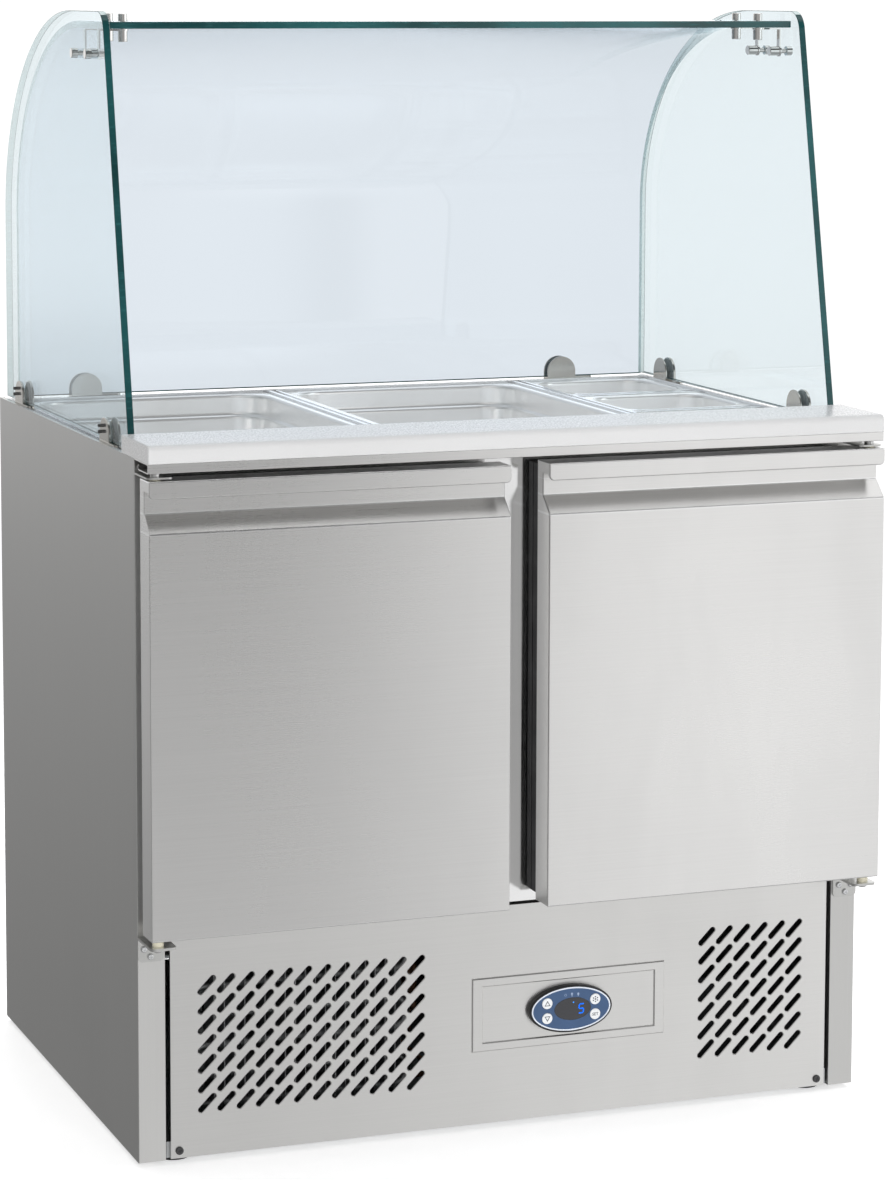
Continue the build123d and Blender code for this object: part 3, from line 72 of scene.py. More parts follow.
# ------------------------------------------------------------------ node helpers
class Tree:
    """A short way to build a material's nodes."""

    def __init__(self, name):
        self.mat = bpy.data.materials.new(name)
        self.mat.use_nodes = True
        self.nt = self.mat.node_tree
        self.nt.nodes.clear()
        self.out = self.nt.nodes.new("ShaderNodeOutputMaterial")
        self._obj = None

    def node(self, kind, **props):
        n = self.nt.nodes.new(kind)
        for k, v in props.items():
            setattr(n, k, v)
        return n

    def link(self, a, b):
        self.nt.links.new(a, b)

    def obj(self):
        if self._obj is None:
            self._obj = self.node("ShaderNodeTexCoord").outputs["Object"]
        return self._obj

    def mapped(self, scale, offset=(0, 0, 0), rot=(0, 0, 0)):
        m = self.node("ShaderNodeMapping")
        m.inputs["Scale"].default_value = scale
        m.inputs["Location"].default_value = offset
        m.inputs["Rotation"].default_value = rot
        self.link(self.obj(), m.inputs["Vector"])
        return m.outputs["Vector"]

    def noise(self, scale=1.0, detail=2.0, rough=0.5, stretch=(1, 1, 1), offset=(0, 0, 0), distortion=0.0):
        n = self.node("ShaderNodeTexNoise")
        n.inputs["Scale"].default_value = scale
        n.inputs["Detail"].default_value = detail
        n.inputs["Roughness"].default_value = rough
        n.inputs["Distortion"].default_value = distortion
        self.link(self.mapped(stretch, offset), n.inputs["Vector"])
        return n.outputs["Fac"]

    def voronoi(self, scale=1.0, stretch=(1, 1, 1), feature="F1", offset=(0, 0, 0)):
        n = self.node("ShaderNodeTexVoronoi", feature=feature)
        n.inputs["Scale"].default_value = scale
        self.link(self.mapped(stretch, offset), n.inputs["Vector"])
        return n

    def math(self, op, a, b=None, c=None, clamp=False):
        n = self.node("ShaderNodeMath", operation=op, use_clamp=clamp)
        for i, v in enumerate((a, b, c)):
            if v is None:
                continue
            if isinstance(v, (int, float)):
                n.inputs[i].default_value = v
            else:
                self.link(v, n.inputs[i])
        return n.outputs[0]

    def remap(self, v, a, b, lo, hi, smooth=False):
        n = self.node("ShaderNodeMapRange", interpolation_type="SMOOTHSTEP" if smooth else "LINEAR")
        n.clamp = True
        self.link(v, n.inputs["Value"])
        for k, x in (("From Min", a), ("From Max", b), ("To Min", lo), ("To Max", hi)):
            n.inputs[k].default_value = x
        return n.outputs["Result"]

    def ramp(self, v, stops, interpolation="LINEAR"):
        n = self.node("ShaderNodeValToRGB")
        cr = n.color_ramp
        cr.interpolation = interpolation
        while len(cr.elements) > 1:
            cr.elements.remove(cr.elements[-1])
        cr.elements[0].position = stops[0][0]
        cr.elements[0].color = rgba(stops[0][1])
        for p, c in stops[1:]:
            e = cr.elements.new(p)
            e.color = rgba(c)
        self.link(v, n.inputs["Fac"])
        return n.outputs["Color"]

    def mix(self, fac, a, b, blend="MIX"):
        n = self.node("ShaderNodeMix", data_type="RGBA", blend_type=blend)
        for s, v in ((n.inputs[0], fac), (n.inputs[6], a), (n.inputs[7], b)):
            if isinstance(v, (int, float)):
                s.default_value = v
            elif isinstance(v, (tuple, list)):
                s.default_value = rgba(v)
            else:
                self.link(v, s)
        return n.outputs[2]

    def bump(self, height, strength=0.2, distance=0.001, normal=None):
        n = self.node("ShaderNodeBump")
        n.inputs["Strength"].default_value = strength
        n.inputs["Distance"].default_value = distance
        self.link(height, n.inputs["Height"])
        if normal is not None:
            self.link(normal, n.inputs["Normal"])
        return n.outputs["Normal"]

    def principled(self, **sockets):
        n = self.node("ShaderNodeBsdfPrincipled")
        for k, v in sockets.items():
            s = n.inputs[k.replace("_", " ")]
            if isinstance(v, (int, float)):
                s.default_value = v
            elif isinstance(v, (tuple, list)):
                s.default_value = rgba(v) if len(s.default_value) == 4 else v
            else:
                self.link(v, s)
        return n

    def done(self, shader):
        self.link(shader, self.out.inputs["Surface"])
        return self.mat


def rgba(c):
    if isinstance(c, (int, float)):
        return (c, c, c, 1.0)
    return tuple(c) + (1.0,) if len(c) == 3 else tuple(c)


def srgb(r, g, b):
    def f(v):
        v /= 255.0
        return v / 12.92 if v <= 0.04045 else ((v + 0.055) / 1.055) ** 2.4
    return (f(r), f(g), f(b))


def scaled(c, k):
    return tuple(min(1.0, v * k) for v in c)


# ------------------------------------------------------------------ materials
GRAIN = {"X": (0.45, 90.0, 90.0), "Y": (90.0, 0.45, 90.0), "Z": (90.0, 90.0, 0.45)}
ACROSS = {"X": (0.0, 0.0, 1.0), "Y": (0.0, 0.0, 1.0), "Z": (1.0, 0.0, 0.0)}


def steel(name, base, rough=0.34, grain="X", aniso=0.75, across=None, streak=0.05, cloud=0.05, bump=0.10, seed=0.0, painted_fold_highlights=()):
    """Ground sheet: long fine scratches along the grain, soft clouding, faint smears where it is wiped, and optional
    painted highlight lines at given fold heights.
    """
    t = Tree(name)
    g = GRAIN[grain]
    off = (seed * 1.37, seed * 2.11, seed * 0.73)
    broad = t.noise(7.0, 4.0, 0.62, stretch=g, offset=off)
    fine = t.noise(34.0, 3.0, 0.60, stretch=g, offset=off)
    clouds = t.noise(2.6, 3.0, 0.55, offset=off)
    smear = t.noise(9.0, 4.0, 0.65, stretch=(1.0, 1.0, 0.35), offset=off, distortion=0.6)
    mixed = t.math("ADD", t.math("MULTIPLY", broad, 0.45), t.math("MULTIPLY", fine, 0.55))
    col = t.mix(t.remap(mixed, 0.32, 0.68, 0.0, 1.0), scaled(base, 1.0 - streak), scaled(base, 1.0 + streak))
    col = t.mix(t.remap(clouds, 0.35, 0.65, 0.0, cloud * 4.0), col, scaled(base, 1.0 - 2.2 * cloud))
    if painted_fold_highlights:  # painted highlight: a thin band at each fold height is lightened toward white, standing in for the light that the rounded bend catches
        z = t.node("ShaderNodeSeparateXYZ")
        t.link(t.obj(), z.inputs[0])
        painted_highlight_mask = None
        for height, half, gain in painted_fold_highlights:
            d = t.math("ABSOLUTE", t.math("SUBTRACT", z.outputs["Z"], height))
            f = t.remap(d, half * 0.55, half, gain, 0.0, smooth=True)
            painted_highlight_mask = f if painted_highlight_mask is None else t.math("MAXIMUM", painted_highlight_mask, f)
        col = t.mix(painted_highlight_mask, col, (1.0, 1.0, 1.0))
    r1 = t.remap(mixed, 0.3, 0.7, rough - 0.012, rough + 0.012)
    r2 = t.remap(smear, 0.45, 0.80, 0.0, 0.022)
    r3 = t.remap(clouds, 0.3, 0.7, -0.012, 0.012)
    rr = t.math("ADD", t.math("ADD", r1, r2), r3)
    n = t.bump(mixed, bump, 0.0004)
    args = {}
    if aniso:
        v = t.node("ShaderNodeVectorTransform", vector_type="VECTOR", convert_from="OBJECT", convert_to="WORLD")
        v.inputs[0].default_value = across or ACROSS[grain]
        args["Tangent"] = v.outputs[0]
    p = t.principled(Base_Color=col, Metallic=1.0, Roughness=rr, Normal=n, Anisotropic=aniso, **args)
    return t.done(p.outputs[0])


def bright_steel(name, base, rough=0.14, seed=0.0, bump=0.04, marks=0.5, metal=1.0):
    """Bright pressed steel: nearly mirror-like, with fine wear lines from use and washing."""
    t = Tree(name)
    off = (seed * 1.7, seed * 0.9, seed * 1.3)
    clouds = t.noise(6.0, 3.0, 0.5, offset=off)
    lines_x = t.noise(9.0, 3.0, 0.7, stretch=(1.0, 90.0, 40.0), offset=off)
    lines_y = t.noise(11.0, 3.0, 0.7, stretch=(80.0, 1.0, 40.0), offset=off)
    pit = t.noise(420.0, 2.0, 0.5, offset=off)
    worn = t.math("MAXIMUM", t.remap(lines_x, 0.58, 0.72, 0, 1), t.remap(lines_y, 0.60, 0.74, 0, 1))
    col = t.mix(t.remap(clouds, 0.35, 0.7, 0.0, 1.0), scaled(base, 0.95), scaled(base, 1.03))
    rr = t.math("ADD", t.remap(clouds, 0.3, 0.7, rough - 0.03, rough + 0.05), t.math("MULTIPLY", worn, 0.10 * marks))
    h = t.math("ADD", t.math("MULTIPLY", worn, 0.6 * marks), t.math("MULTIPLY", pit, 0.25))
    p = t.principled(Base_Color=col, Metallic=metal, Roughness=rr, Normal=t.bump(h, bump, 0.0003))
    return t.done(p.outputs[0])


def spangle(name, base=(0.60, 0.62, 0.63)):
    """Galvanised sheet with its crystal pattern."""
    t = Tree(name)
    v = t.voronoi(75.0)
    v2 = t.voronoi(140.0, offset=(3.1, 1.7, 0.4))
    cell = t.node("ShaderNodeSeparateColor")
    t.link(v.outputs["Color"], cell.inputs[0])
    cell2 = t.node("ShaderNodeSeparateColor")
    t.link(v2.outputs["Color"], cell2.inputs[0])
    k = t.math("ADD", t.math("MULTIPLY", cell.outputs[0], 0.65), t.math("MULTIPLY", cell2.outputs[1], 0.35))
    haze = t.noise(5.0, 4.0, 0.6)
    col = t.mix(k, scaled(base, 0.84), scaled(base, 1.10))
    col = t.mix(t.remap(haze, 0.45, 0.75, 0.0, 0.5), col, (0.66, 0.67, 0.66))
    rr = t.math("ADD", t.remap(k, 0, 1, 0.30, 0.46), t.remap(haze, 0.4, 0.8, 0.0, 0.12))
    p = t.principled(Base_Color=col, Metallic=0.92, Roughness=rr, Normal=t.bump(k, 0.05, 0.0003))
    return t.done(p.outputs[0])


def moulded(name, base, rough=0.42, grain=900.0, bump=0.10, var=0.05, spec=0.5, coat=0.0, dust=0.0):
    """Moulded plastic: an even eroded texture, slight colour drift and rubbed patches."""
    t = Tree(name)
    fine = t.noise(grain, 3.0, 0.6)
    mid = t.noise(60.0, 3.0, 0.55)
    broad = t.noise(5.0, 3.0, 0.5)
    col = t.mix(t.remap(broad, 0.35, 0.65, 0, 1), scaled(base, 1.0 - var), scaled(base, 1.0 + var * 0.6))
    if dust:
        col = t.mix(t.remap(mid, 0.5, 0.8, 0.0, dust), col, (0.42, 0.42, 0.41))
    rr = t.math("ADD", t.remap(fine, 0.3, 0.7, rough - 0.06, rough + 0.06), t.remap(mid, 0.4, 0.7, -0.03, 0.04))
    h = t.math("ADD", fine, t.math("MULTIPLY", mid, 0.3))
    p = t.principled(Base_Color=col, Roughness=rr, Specular_IOR_Level=spec, Coat_Weight=coat, Coat_Roughness=0.08,
                     Normal=t.bump(h, bump, 0.0002))
    return t.done(p.outputs[0])


def rubber(name, base, rough=0.62):
    t = Tree(name)
    fine = t.noise(700.0, 4.0, 0.65)
    bloom = t.noise(28.0, 4.0, 0.6)
    col = t.mix(t.remap(bloom, 0.45, 0.8, 0.0, 0.35), base, tuple(min(1.0, v + 0.07) for v in base))
    rr = t.remap(bloom, 0.3, 0.7, rough - 0.08, rough + 0.10)
    p = t.principled(Base_Color=col, Roughness=rr, Specular_IOR_Level=0.4, Normal=t.bump(fine, 0.16, 0.0003))
    return t.done(p.outputs[0])


def enamel(name, base, rough=0.28):
    """Sprayed enamel with orange peel and a few dull specks."""
    t = Tree(name)
    peel = t.noise(160.0, 2.0, 0.45)
    speck = t.noise(900.0, 3.0, 0.6)
    dust = t.noise(14.0, 4.0, 0.6)
    col = t.mix(t.remap(dust, 0.5, 0.8, 0.0, 0.25), base, tuple(min(1.0, v + 0.10) for v in base))
    rr = t.math("ADD", t.remap(dust, 0.35, 0.75, rough, rough + 0.25), t.remap(speck, 0.6, 0.8, 0.0, 0.1))
    p = t.principled(Base_Color=col, Roughness=rr, Coat_Weight=0.2, Coat_Roughness=0.15, Normal=t.bump(peel, 0.12, 0.0005))
    return t.done(p.outputs[0])


def copper():
    """Drawn copper, browned unevenly by handling."""
    t = Tree("copper_tube")
    tarn = t.noise(34.0, 5.0, 0.62)
    fine = t.noise(240.0, 3.0, 0.6)
    col = t.ramp(tarn, [(0.30, (0.62, 0.27, 0.15)), (0.50, (0.80, 0.42, 0.27)), (0.68, (0.46, 0.20, 0.12)), (0.85, (0.30, 0.17, 0.12))])
    rr = t.remap(tarn, 0.3, 0.75, 0.20, 0.48)
    p = t.principled(Base_Color=col, Metallic=1.0, Roughness=rr, Normal=t.bump(fine, 0.06, 0.0003))
    return t.done(p.outputs[0])


def fins():
    """Stacked aluminium fins, a few of them slightly bent."""
    t = Tree("coil_fins")
    lean = t.noise(16.0, 3.0, 0.6)
    fine = t.noise(500.0, 2.0, 0.5, stretch=(1.0, 0.05, 0.05))
    col = t.mix(t.remap(lean, 0.35, 0.7, 0, 1), (0.50, 0.51, 0.52), (0.72, 0.73, 0.74))
    p = t.principled(Base_Color=col, Metallic=1.0, Roughness=t.remap(lean, 0.3, 0.7, 0.30, 0.50), Normal=t.bump(fine, 0.3, 0.0006))
    return t.done(p.outputs[0])


def foam_mat():
    """Cut rigid foam: cells, with a few larger voids."""
    t = Tree("rigid_foam")
    cells = t.voronoi(900.0)
    big = t.noise(70.0, 4.0, 0.6)
    col = t.mix(t.remap(big, 0.35, 0.7, 0, 1), (0.80, 0.70, 0.40), (0.90, 0.82, 0.56))
    h = t.math("ADD", t.math("MULTIPLY", cells.outputs["Distance"], 0.6), big)
    p = t.principled(Base_Color=col, Roughness=t.remap(big, 0.3, 0.7, 0.78, 0.95), Specular_IOR_Level=0.25, Normal=t.bump(h, 0.35, 0.0008))
    return t.done(p.outputs[0])


def polyethylene():
    """White cutting board: fine moulded grain, with shallow knife marks on the worked face."""
    t = Tree("white_board")
    grain = t.noise(520.0, 3.0, 0.6)
    tone = t.noise(4.0, 3.0, 0.5)
    cut_a = t.noise(16.0, 2.0, 0.7, stretch=(1.0, 34.0, 20.0), offset=(0.3, 4.0, 0.0))
    cut_b = t.noise(13.0, 2.0, 0.7, stretch=(26.0, 5.0, 20.0), offset=(2.3, 1.0, 0.0))
    cuts = t.math("MAXIMUM", t.remap(cut_a, 0.66, 0.72, 0, 1), t.remap(cut_b, 0.68, 0.74, 0, 1))
    col = t.mix(t.remap(tone, 0.35, 0.65, 0, 1), (0.555, 0.556, 0.557), (0.57, 0.571, 0.572))
    col = t.mix(t.math("MULTIPLY", cuts, 0.025), col, (0.55, 0.57, 0.58))
    rr = t.math("ADD", t.remap(grain, 0.3, 0.7, 0.24, 0.30), t.math("MULTIPLY", cuts, 0.10))
    h = t.math("SUBTRACT", t.math("MULTIPLY", grain, 0.15), t.math("MULTIPLY", cuts, 0.15))
    p = t.principled(Base_Color=col, Roughness=rr, Specular_IOR_Level=0.12, Normal=t.bump(h, 0.02, 0.0003))
    p.inputs["Subsurface Weight"].default_value = 0.12
    p.inputs["Subsurface Radius"].default_value = (0.9, 0.95, 1.0)
    p.inputs["Subsurface Scale"].default_value = 0.004
    return t.done(p.outputs[0])


def pane(name, tint, streaks=True):
    """Clear float glass as a thin pane: what is behind shows through with a faint blue-green cast,
    and each face mirrors more towards a glancing view, with a faint wiping haze in that gloss."""
    t = Tree(name)
    clear = t.node("ShaderNodeBsdfTransparent")
    tone = t.noise(3.0, 2.0, 0.5)
    col = t.mix(t.remap(tone, 0.3, 0.7, 0, 1), scaled(tint, 0.994), scaled(tint, 1.0))
    t.link(col, clear.inputs["Color"])
    gloss = t.node("ShaderNodeBsdfGlossy")
    wipe = t.noise(11.0, 4.0, 0.6, stretch=(1.0, 1.0, 0.3), distortion=0.8)
    t.link(t.remap(wipe, 0.45, 0.8, 0.0, 0.05), gloss.inputs["Roughness"])
    gloss.inputs["Color"].default_value = (0.96, 0.985, 1.0, 1.0)
    facing = t.node("ShaderNodeLayerWeight")
    facing.inputs["Blend"].default_value = 0.5
    f5 = t.math("POWER", facing.outputs["Facing"], 5.0)
    fac = t.math("ADD", t.math("MULTIPLY", f5, 0.90), 0.035)
    mix = t.node("ShaderNodeMixShader")
    t.link(fac, mix.inputs[0])
    t.link(clear.outputs[0], mix.inputs[1])
    t.link(gloss.outputs[0], mix.inputs[2])
    return t.done(mix.outputs[0])


def glass_edge(name, base=(0.006, 0.040, 0.042), spread=3.0, clear=0.0):
    """Ground and polished glass edge: dark sea-green where it is seen end on against the room, pale where light runs
    along the sheet and out through it."""
    t = Tree(name)
    lines = t.noise(40.0, 3.0, 0.6, stretch=(1.0, 8.0, 8.0))
    depth = t.noise(9.0, 2.0, 0.5)
    col = t.mix(t.remap(depth, 0.3, 0.7, 0, 1), scaled(base, 0.75), scaled(base, 0.5 + 0.5 * spread))
    col = t.mix(t.remap(lines, 0.55, 0.75, 0.0, 0.5), col, scaled(base, spread + 0.2))
    p = t.principled(Base_Color=col, Roughness=t.remap(lines, 0.3, 0.7, 0.06, 0.22), Specular_IOR_Level=0.5,
                     Normal=t.bump(lines, 0.05, 0.0003))
    if not clear:
        return t.done(p.outputs[0])
    through = t.node("ShaderNodeBsdfTransparent")
    through.inputs["Color"].default_value = (0.86, 0.93, 0.92, 1.0)
    mix = t.node("ShaderNodeMixShader")
    t.link(t.remap(lines, 0.3, 0.7, clear + 0.08, clear - 0.08), mix.inputs[0])
    t.link(p.outputs[0], mix.inputs[1])
    t.link(through.outputs[0], mix.inputs[2])
    return t.done(mix.outputs[0])


def smoked():
    t = Tree("smoked_window")
    n = t.noise(18.0, 3.0, 0.5)
    col = t.mix(t.remap(n, 0.3, 0.7, 0, 1), (0.008, 0.009, 0.013), (0.014, 0.015, 0.020))
    p = t.principled(Base_Color=col, Roughness=t.remap(n, 0.3, 0.7, 0.05, 0.12), Specular_IOR_Level=0.5, Coat_Weight=0.4, Coat_Roughness=0.05)
    return t.done(p.outputs[0])


def lit(name, colour, strength):
    """A lit segment behind the window, its brightness varied a little by fine noise."""
    t = Tree(name)
    n = t.noise(600.0, 2.0, 0.5)
    col = t.mix(t.remap(n, 0.3, 0.7, 0, 1), scaled(colour, 0.8), scaled(colour, 1.15))
    e = t.node("ShaderNodeEmission")
    t.link(col, e.inputs["Color"])
    e.inputs["Strength"].default_value = strength
    return t.done(e.outputs[0])


def printed(name, base, rough=0.35, metallic=0.0):
    """Screen-printed film."""
    t = Tree(name)
    dots = t.noise(1600.0, 2.0, 0.5)
    tone = t.noise(30.0, 3.0, 0.5)
    col = t.mix(t.remap(tone, 0.3, 0.7, 0, 1), scaled(base, 0.93), scaled(base, 1.06))
    p = t.principled(Base_Color=col, Metallic=metallic, Roughness=t.remap(dots, 0.3, 0.7, rough - 0.05, rough + 0.07),
                     Specular_IOR_Level=0.5, Normal=t.bump(dots, 0.08, 0.0001))
    return t.done(p.outputs[0])


M = {}
M["front"] = steel("front_sheet", (0.85, 0.845, 0.835), rough=0.28, grain="X", aniso=0.90, streak=0.045, cloud=0.012, bump=0.004, seed=1.0)
# door_sheet carries painted highlight lines at the skin's folds (handle recess, lip, top and bottom edges), standing in
# for the light the bends catch
M["door"] = steel("door_sheet", (0.85, 0.845, 0.835), rough=0.28, grain="X", aniso=0.90, streak=0.032, cloud=0.008, bump=0.003,
                  seed=1.0, painted_fold_highlights=((0.7350, 0.0016, 0.95), (0.7553, 0.0016, 1.0), (0.7935, 0.0014, 0.9), (0.7742, 0.0009, 0.5),
                                   (0.2776, 0.0012, 0.6)))
M["side"] = steel("side_sheet", (0.755, 0.752, 0.738), rough=0.36, grain="Z", aniso=0.55, across=(0.0, 1.0, 0.0), streak=0.022,
                  cloud=0.012, bump=0.004, seed=2.0)
M["grille"] = steel("grille_sheet", (0.87, 0.865, 0.85), rough=0.33, grain="X", aniso=0.80, streak=0.03, cloud=0.012, bump=0.004, seed=3.0)
M["worktop"] = steel("worktop_sheet", (0.95, 0.955, 0.965), rough=0.22, grain="X", aniso=0.3, streak=0.02, cloud=0.01, bump=0.004, seed=4.0)
M["mirror"] = bright_steel("polished_frame", (0.84, 0.84, 0.84), rough=0.10, seed=5.0)
M["pan"] = bright_steel("pan_sheet", (0.985, 0.98, 0.97), rough=0.17, seed=6.0, marks=0.35, metal=0.62)
M["liner"] = bright_steel("liner_sheet", (0.72, 0.73, 0.74), rough=0.30, seed=7.0)
M["bracket"] = steel("bracket_sheet", (0.68, 0.68, 0.665), rough=0.34, grain="X", aniso=0.4, seed=8.0)
M["galv"] = spangle("galvanised_sheet")
M["screw"] = bright_steel("screw_zinc", (0.76, 0.77, 0.78), rough=0.22, seed=9.0)
M["pin"] = bright_steel("pin_bright", (0.74, 0.74, 0.74), rough=0.18, seed=10.0)
M["dark_screw"] = enamel("screw_black", (0.030, 0.030, 0.032), rough=0.32)
M["set_screw"] = bright_steel("set_screw_dark", (0.20, 0.20, 0.205), rough=0.26, seed=11.0)
M["nickel"] = bright_steel("clamp_satin_nickel", (0.62, 0.60, 0.56), rough=0.12, seed=12.0, marks=0.35)
M["chrome"] = bright_steel("fitting_bright_chrome", (0.82, 0.81, 0.79), rough=0.06, seed=13.0, bump=0.02, marks=0.2)
M["rubber"] = rubber("feet_rubber", (0.020, 0.020, 0.021))
M["gasket"] = rubber("gasket_vinyl", (0.030, 0.030, 0.033), rough=0.5)
M["pad"] = rubber("clear_pad", (0.26, 0.28, 0.27), rough=0.30)
M["foam"] = foam_mat()
M["board"] = polyethylene()
M["bush"] = moulded("natural_nylon", (0.80, 0.76, 0.60), rough=0.40)
M["door_liner"] = moulded("door_inner_panel", (0.80, 0.81, 0.82), rough=0.34, grain=500.0)
M["wire"] = moulded("coated_wire", (0.70, 0.71, 0.72), rough=0.30, grain=600.0, coat=0.3)
M["fins"] = fins()
M["copper"] = copper()
M["enamel"] = enamel("compressor_enamel", (0.018, 0.018, 0.020))
M["fan"] = moulded("fan_plastic", (0.022, 0.022, 0.023), rough=0.46, dust=0.35)
M["motor"] = moulded("motor_shell", (0.34, 0.35, 0.36), rough=0.50, grain=300.0, bump=0.25)
M["ctrl"] = moulded("controller_case", (0.012, 0.012, 0.013), rough=0.38, grain=1200.0, bump=0.12)
M["window"] = smoked()
M["button"] = moulded("button_cap", (0.72, 0.735, 0.75), rough=0.40, grain=1400.0, bump=0.05)
M["tray"] = moulded("drip_tray", (0.045, 0.045, 0.048), rough=0.42)
M["term"] = moulded("terminal_cover", (0.030, 0.031, 0.033), rough=0.45)
M["glass"] = pane("clear_pane", (0.888, 0.927, 0.940))
M["bent_glass"] = pane("bent_clear_pane", (0.842, 0.875, 0.906))
M["glass_edge"] = glass_edge("pane_edge")
M["glass_rim"] = glass_edge("pane_edge_pale", (0.50, 0.61, 0.61), 1.2, clear=0.52)
M["blue_film"] = printed("panel_film_blue", srgb(56, 82, 118), rough=0.36)
M["silver_film"] = printed("panel_film_silver", srgb(212, 218, 228), rough=0.34)
M["symbol"] = printed("symbol_ink", srgb(62, 66, 74), rough=0.45)
M["icon"] = printed("icon_ink", srgb(148, 164, 190), rough=0.45)
M["digit"] = lit("digit_light", srgb(20, 110, 255), 1.6)
M["dot"] = lit("dot_light", srgb(60, 150, 255), 2.0)

NODE_MATERIAL = {
    "side_panel_left": "side", "side_panel_right": "side", "rear_panel": "galv", "rear_vent_cover": "galv",
    "base_tray": "galv", "glide_feet": "rubber", "front_frame": "mirror", "inner_liner": "liner", "foam_body": "foam",
    "worktop": "worktop", "front_rail": "front", "grille_panel": "grille", "panel_screws": "dark_screw",
    "controller_body": "ctrl", "display_window": "window", "up_button": "button", "down_button": "button",
    "aux_button": "button", "set_button": "button", "hinge_brackets": "bracket", "hinge_screws": "screw",
    "hinge_pins": "pin", "hinge_bushes": "bush", "door_left_skin": "door", "door_left_foam": "foam",
    "door_left_liner": "door_liner", "door_left_gasket": "gasket", "door_right_skin": "door",
    "door_right_foam": "foam", "door_right_liner": "door_liner", "door_right_gasket": "gasket",
    "divider_bars": "worktop", "short_bars": "worktop", "cutting_board": "board",
    "glass_clamps": "nickel", "clamp_pads": "pad", "clamp_screws": "set_screw", "corner_straps": "chrome",
    "corner_standoffs": "chrome", "wire_shelves": "wire", "shelf_supports": "liner", "evaporator_cover": "liner",
    "evaporator_coil": "fins", "evaporator_fan": "fan", "condenser_coil": "fins", "condenser_shroud": "galv",
    "condenser_fan": "fan", "fan_motors": "motor", "compressor": "enamel", "refrigerant_pipes": "copper",
    "condensate_tray": "tray", "terminal_box": "term", "cable_gland": "fan",
    "gn_pan_left": "pan", "gn_pan_middle": "pan", "gn_pan_sixth_rear": "pan", "gn_pan_sixth_middle": "pan",
    "gn_pan_sixth_front": "pan", "side_glasses": "glass", "curved_glass": "glass",
}
for name, key in NODE_MATERIAL.items():
    ob = NODES[name]
    if not ob.material_slots:
        ob.data.materials.append(M[key])
    for s in ob.material_slots:
        s.material = M[key]


# ------------------------------------------------------------------ mesh helpers
def add(name, verts, faces, mats, body, mat_index=None, smooth=True):
    """A new piece from points in metres, riding on a body."""
    me = bpy.data.meshes.new(name)
    me.from_pydata([tuple(v) for v in verts], [], faces)
    for m in mats:
        me.materials.append(m)
    if mat_index:
        for p, i in zip(me.polygons, mat_index):
            p.material_index = i
    me.validate()
    bm = bmesh.new()
    bm.from_mesh(me)
    bmesh.ops.recalc_face_normals(bm, faces=bm.faces)
    bm.to_mesh(me)
    bm.free()
    ob = bpy.data.objects.new(name, me)
    bpy.context.scene.collection.objects.link(ob)
    if smooth:
        for p in me.polygons:
            p.use_smooth = True
    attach(ob, body)
    return ob


def rounded_ring(hx, hy, r, n=10):
    """Points round a rectangle with round corners, the same count for any size."""
    pts = []
    for cx, cy, a0 in ((1, 1, 0.0), (-1, 1, 90.0), (-1, -1, 180.0), (1, -1, 270.0)):
        for i in range(n + 1):
            a = math.radians(a0 + 90.0 * i / n)
            pts.append((cx * (hx - r) + r * math.cos(a), cy * (hy - r) + r * math.sin(a)))
    return pts


def loft(rings, close_ends=True):
    """Quads between rings of equal count; the first and last rings are closed with a fan of one face each."""
    verts, faces = [], []
    n = len(rings[0])
    for ring in rings:
        verts += ring
    for k in range(len(rings) - 1):
        for i in range(n):
            j = (i + 1) % n
            faces.append((k * n + i, k * n + j, (k + 1) * n + j, (k + 1) * n + i))
    if close_ends:
        faces.append(tuple(range(n))[::-1])
        faces.append(tuple((len(rings) - 1) * n + i for i in range(n)))
    return verts, faces


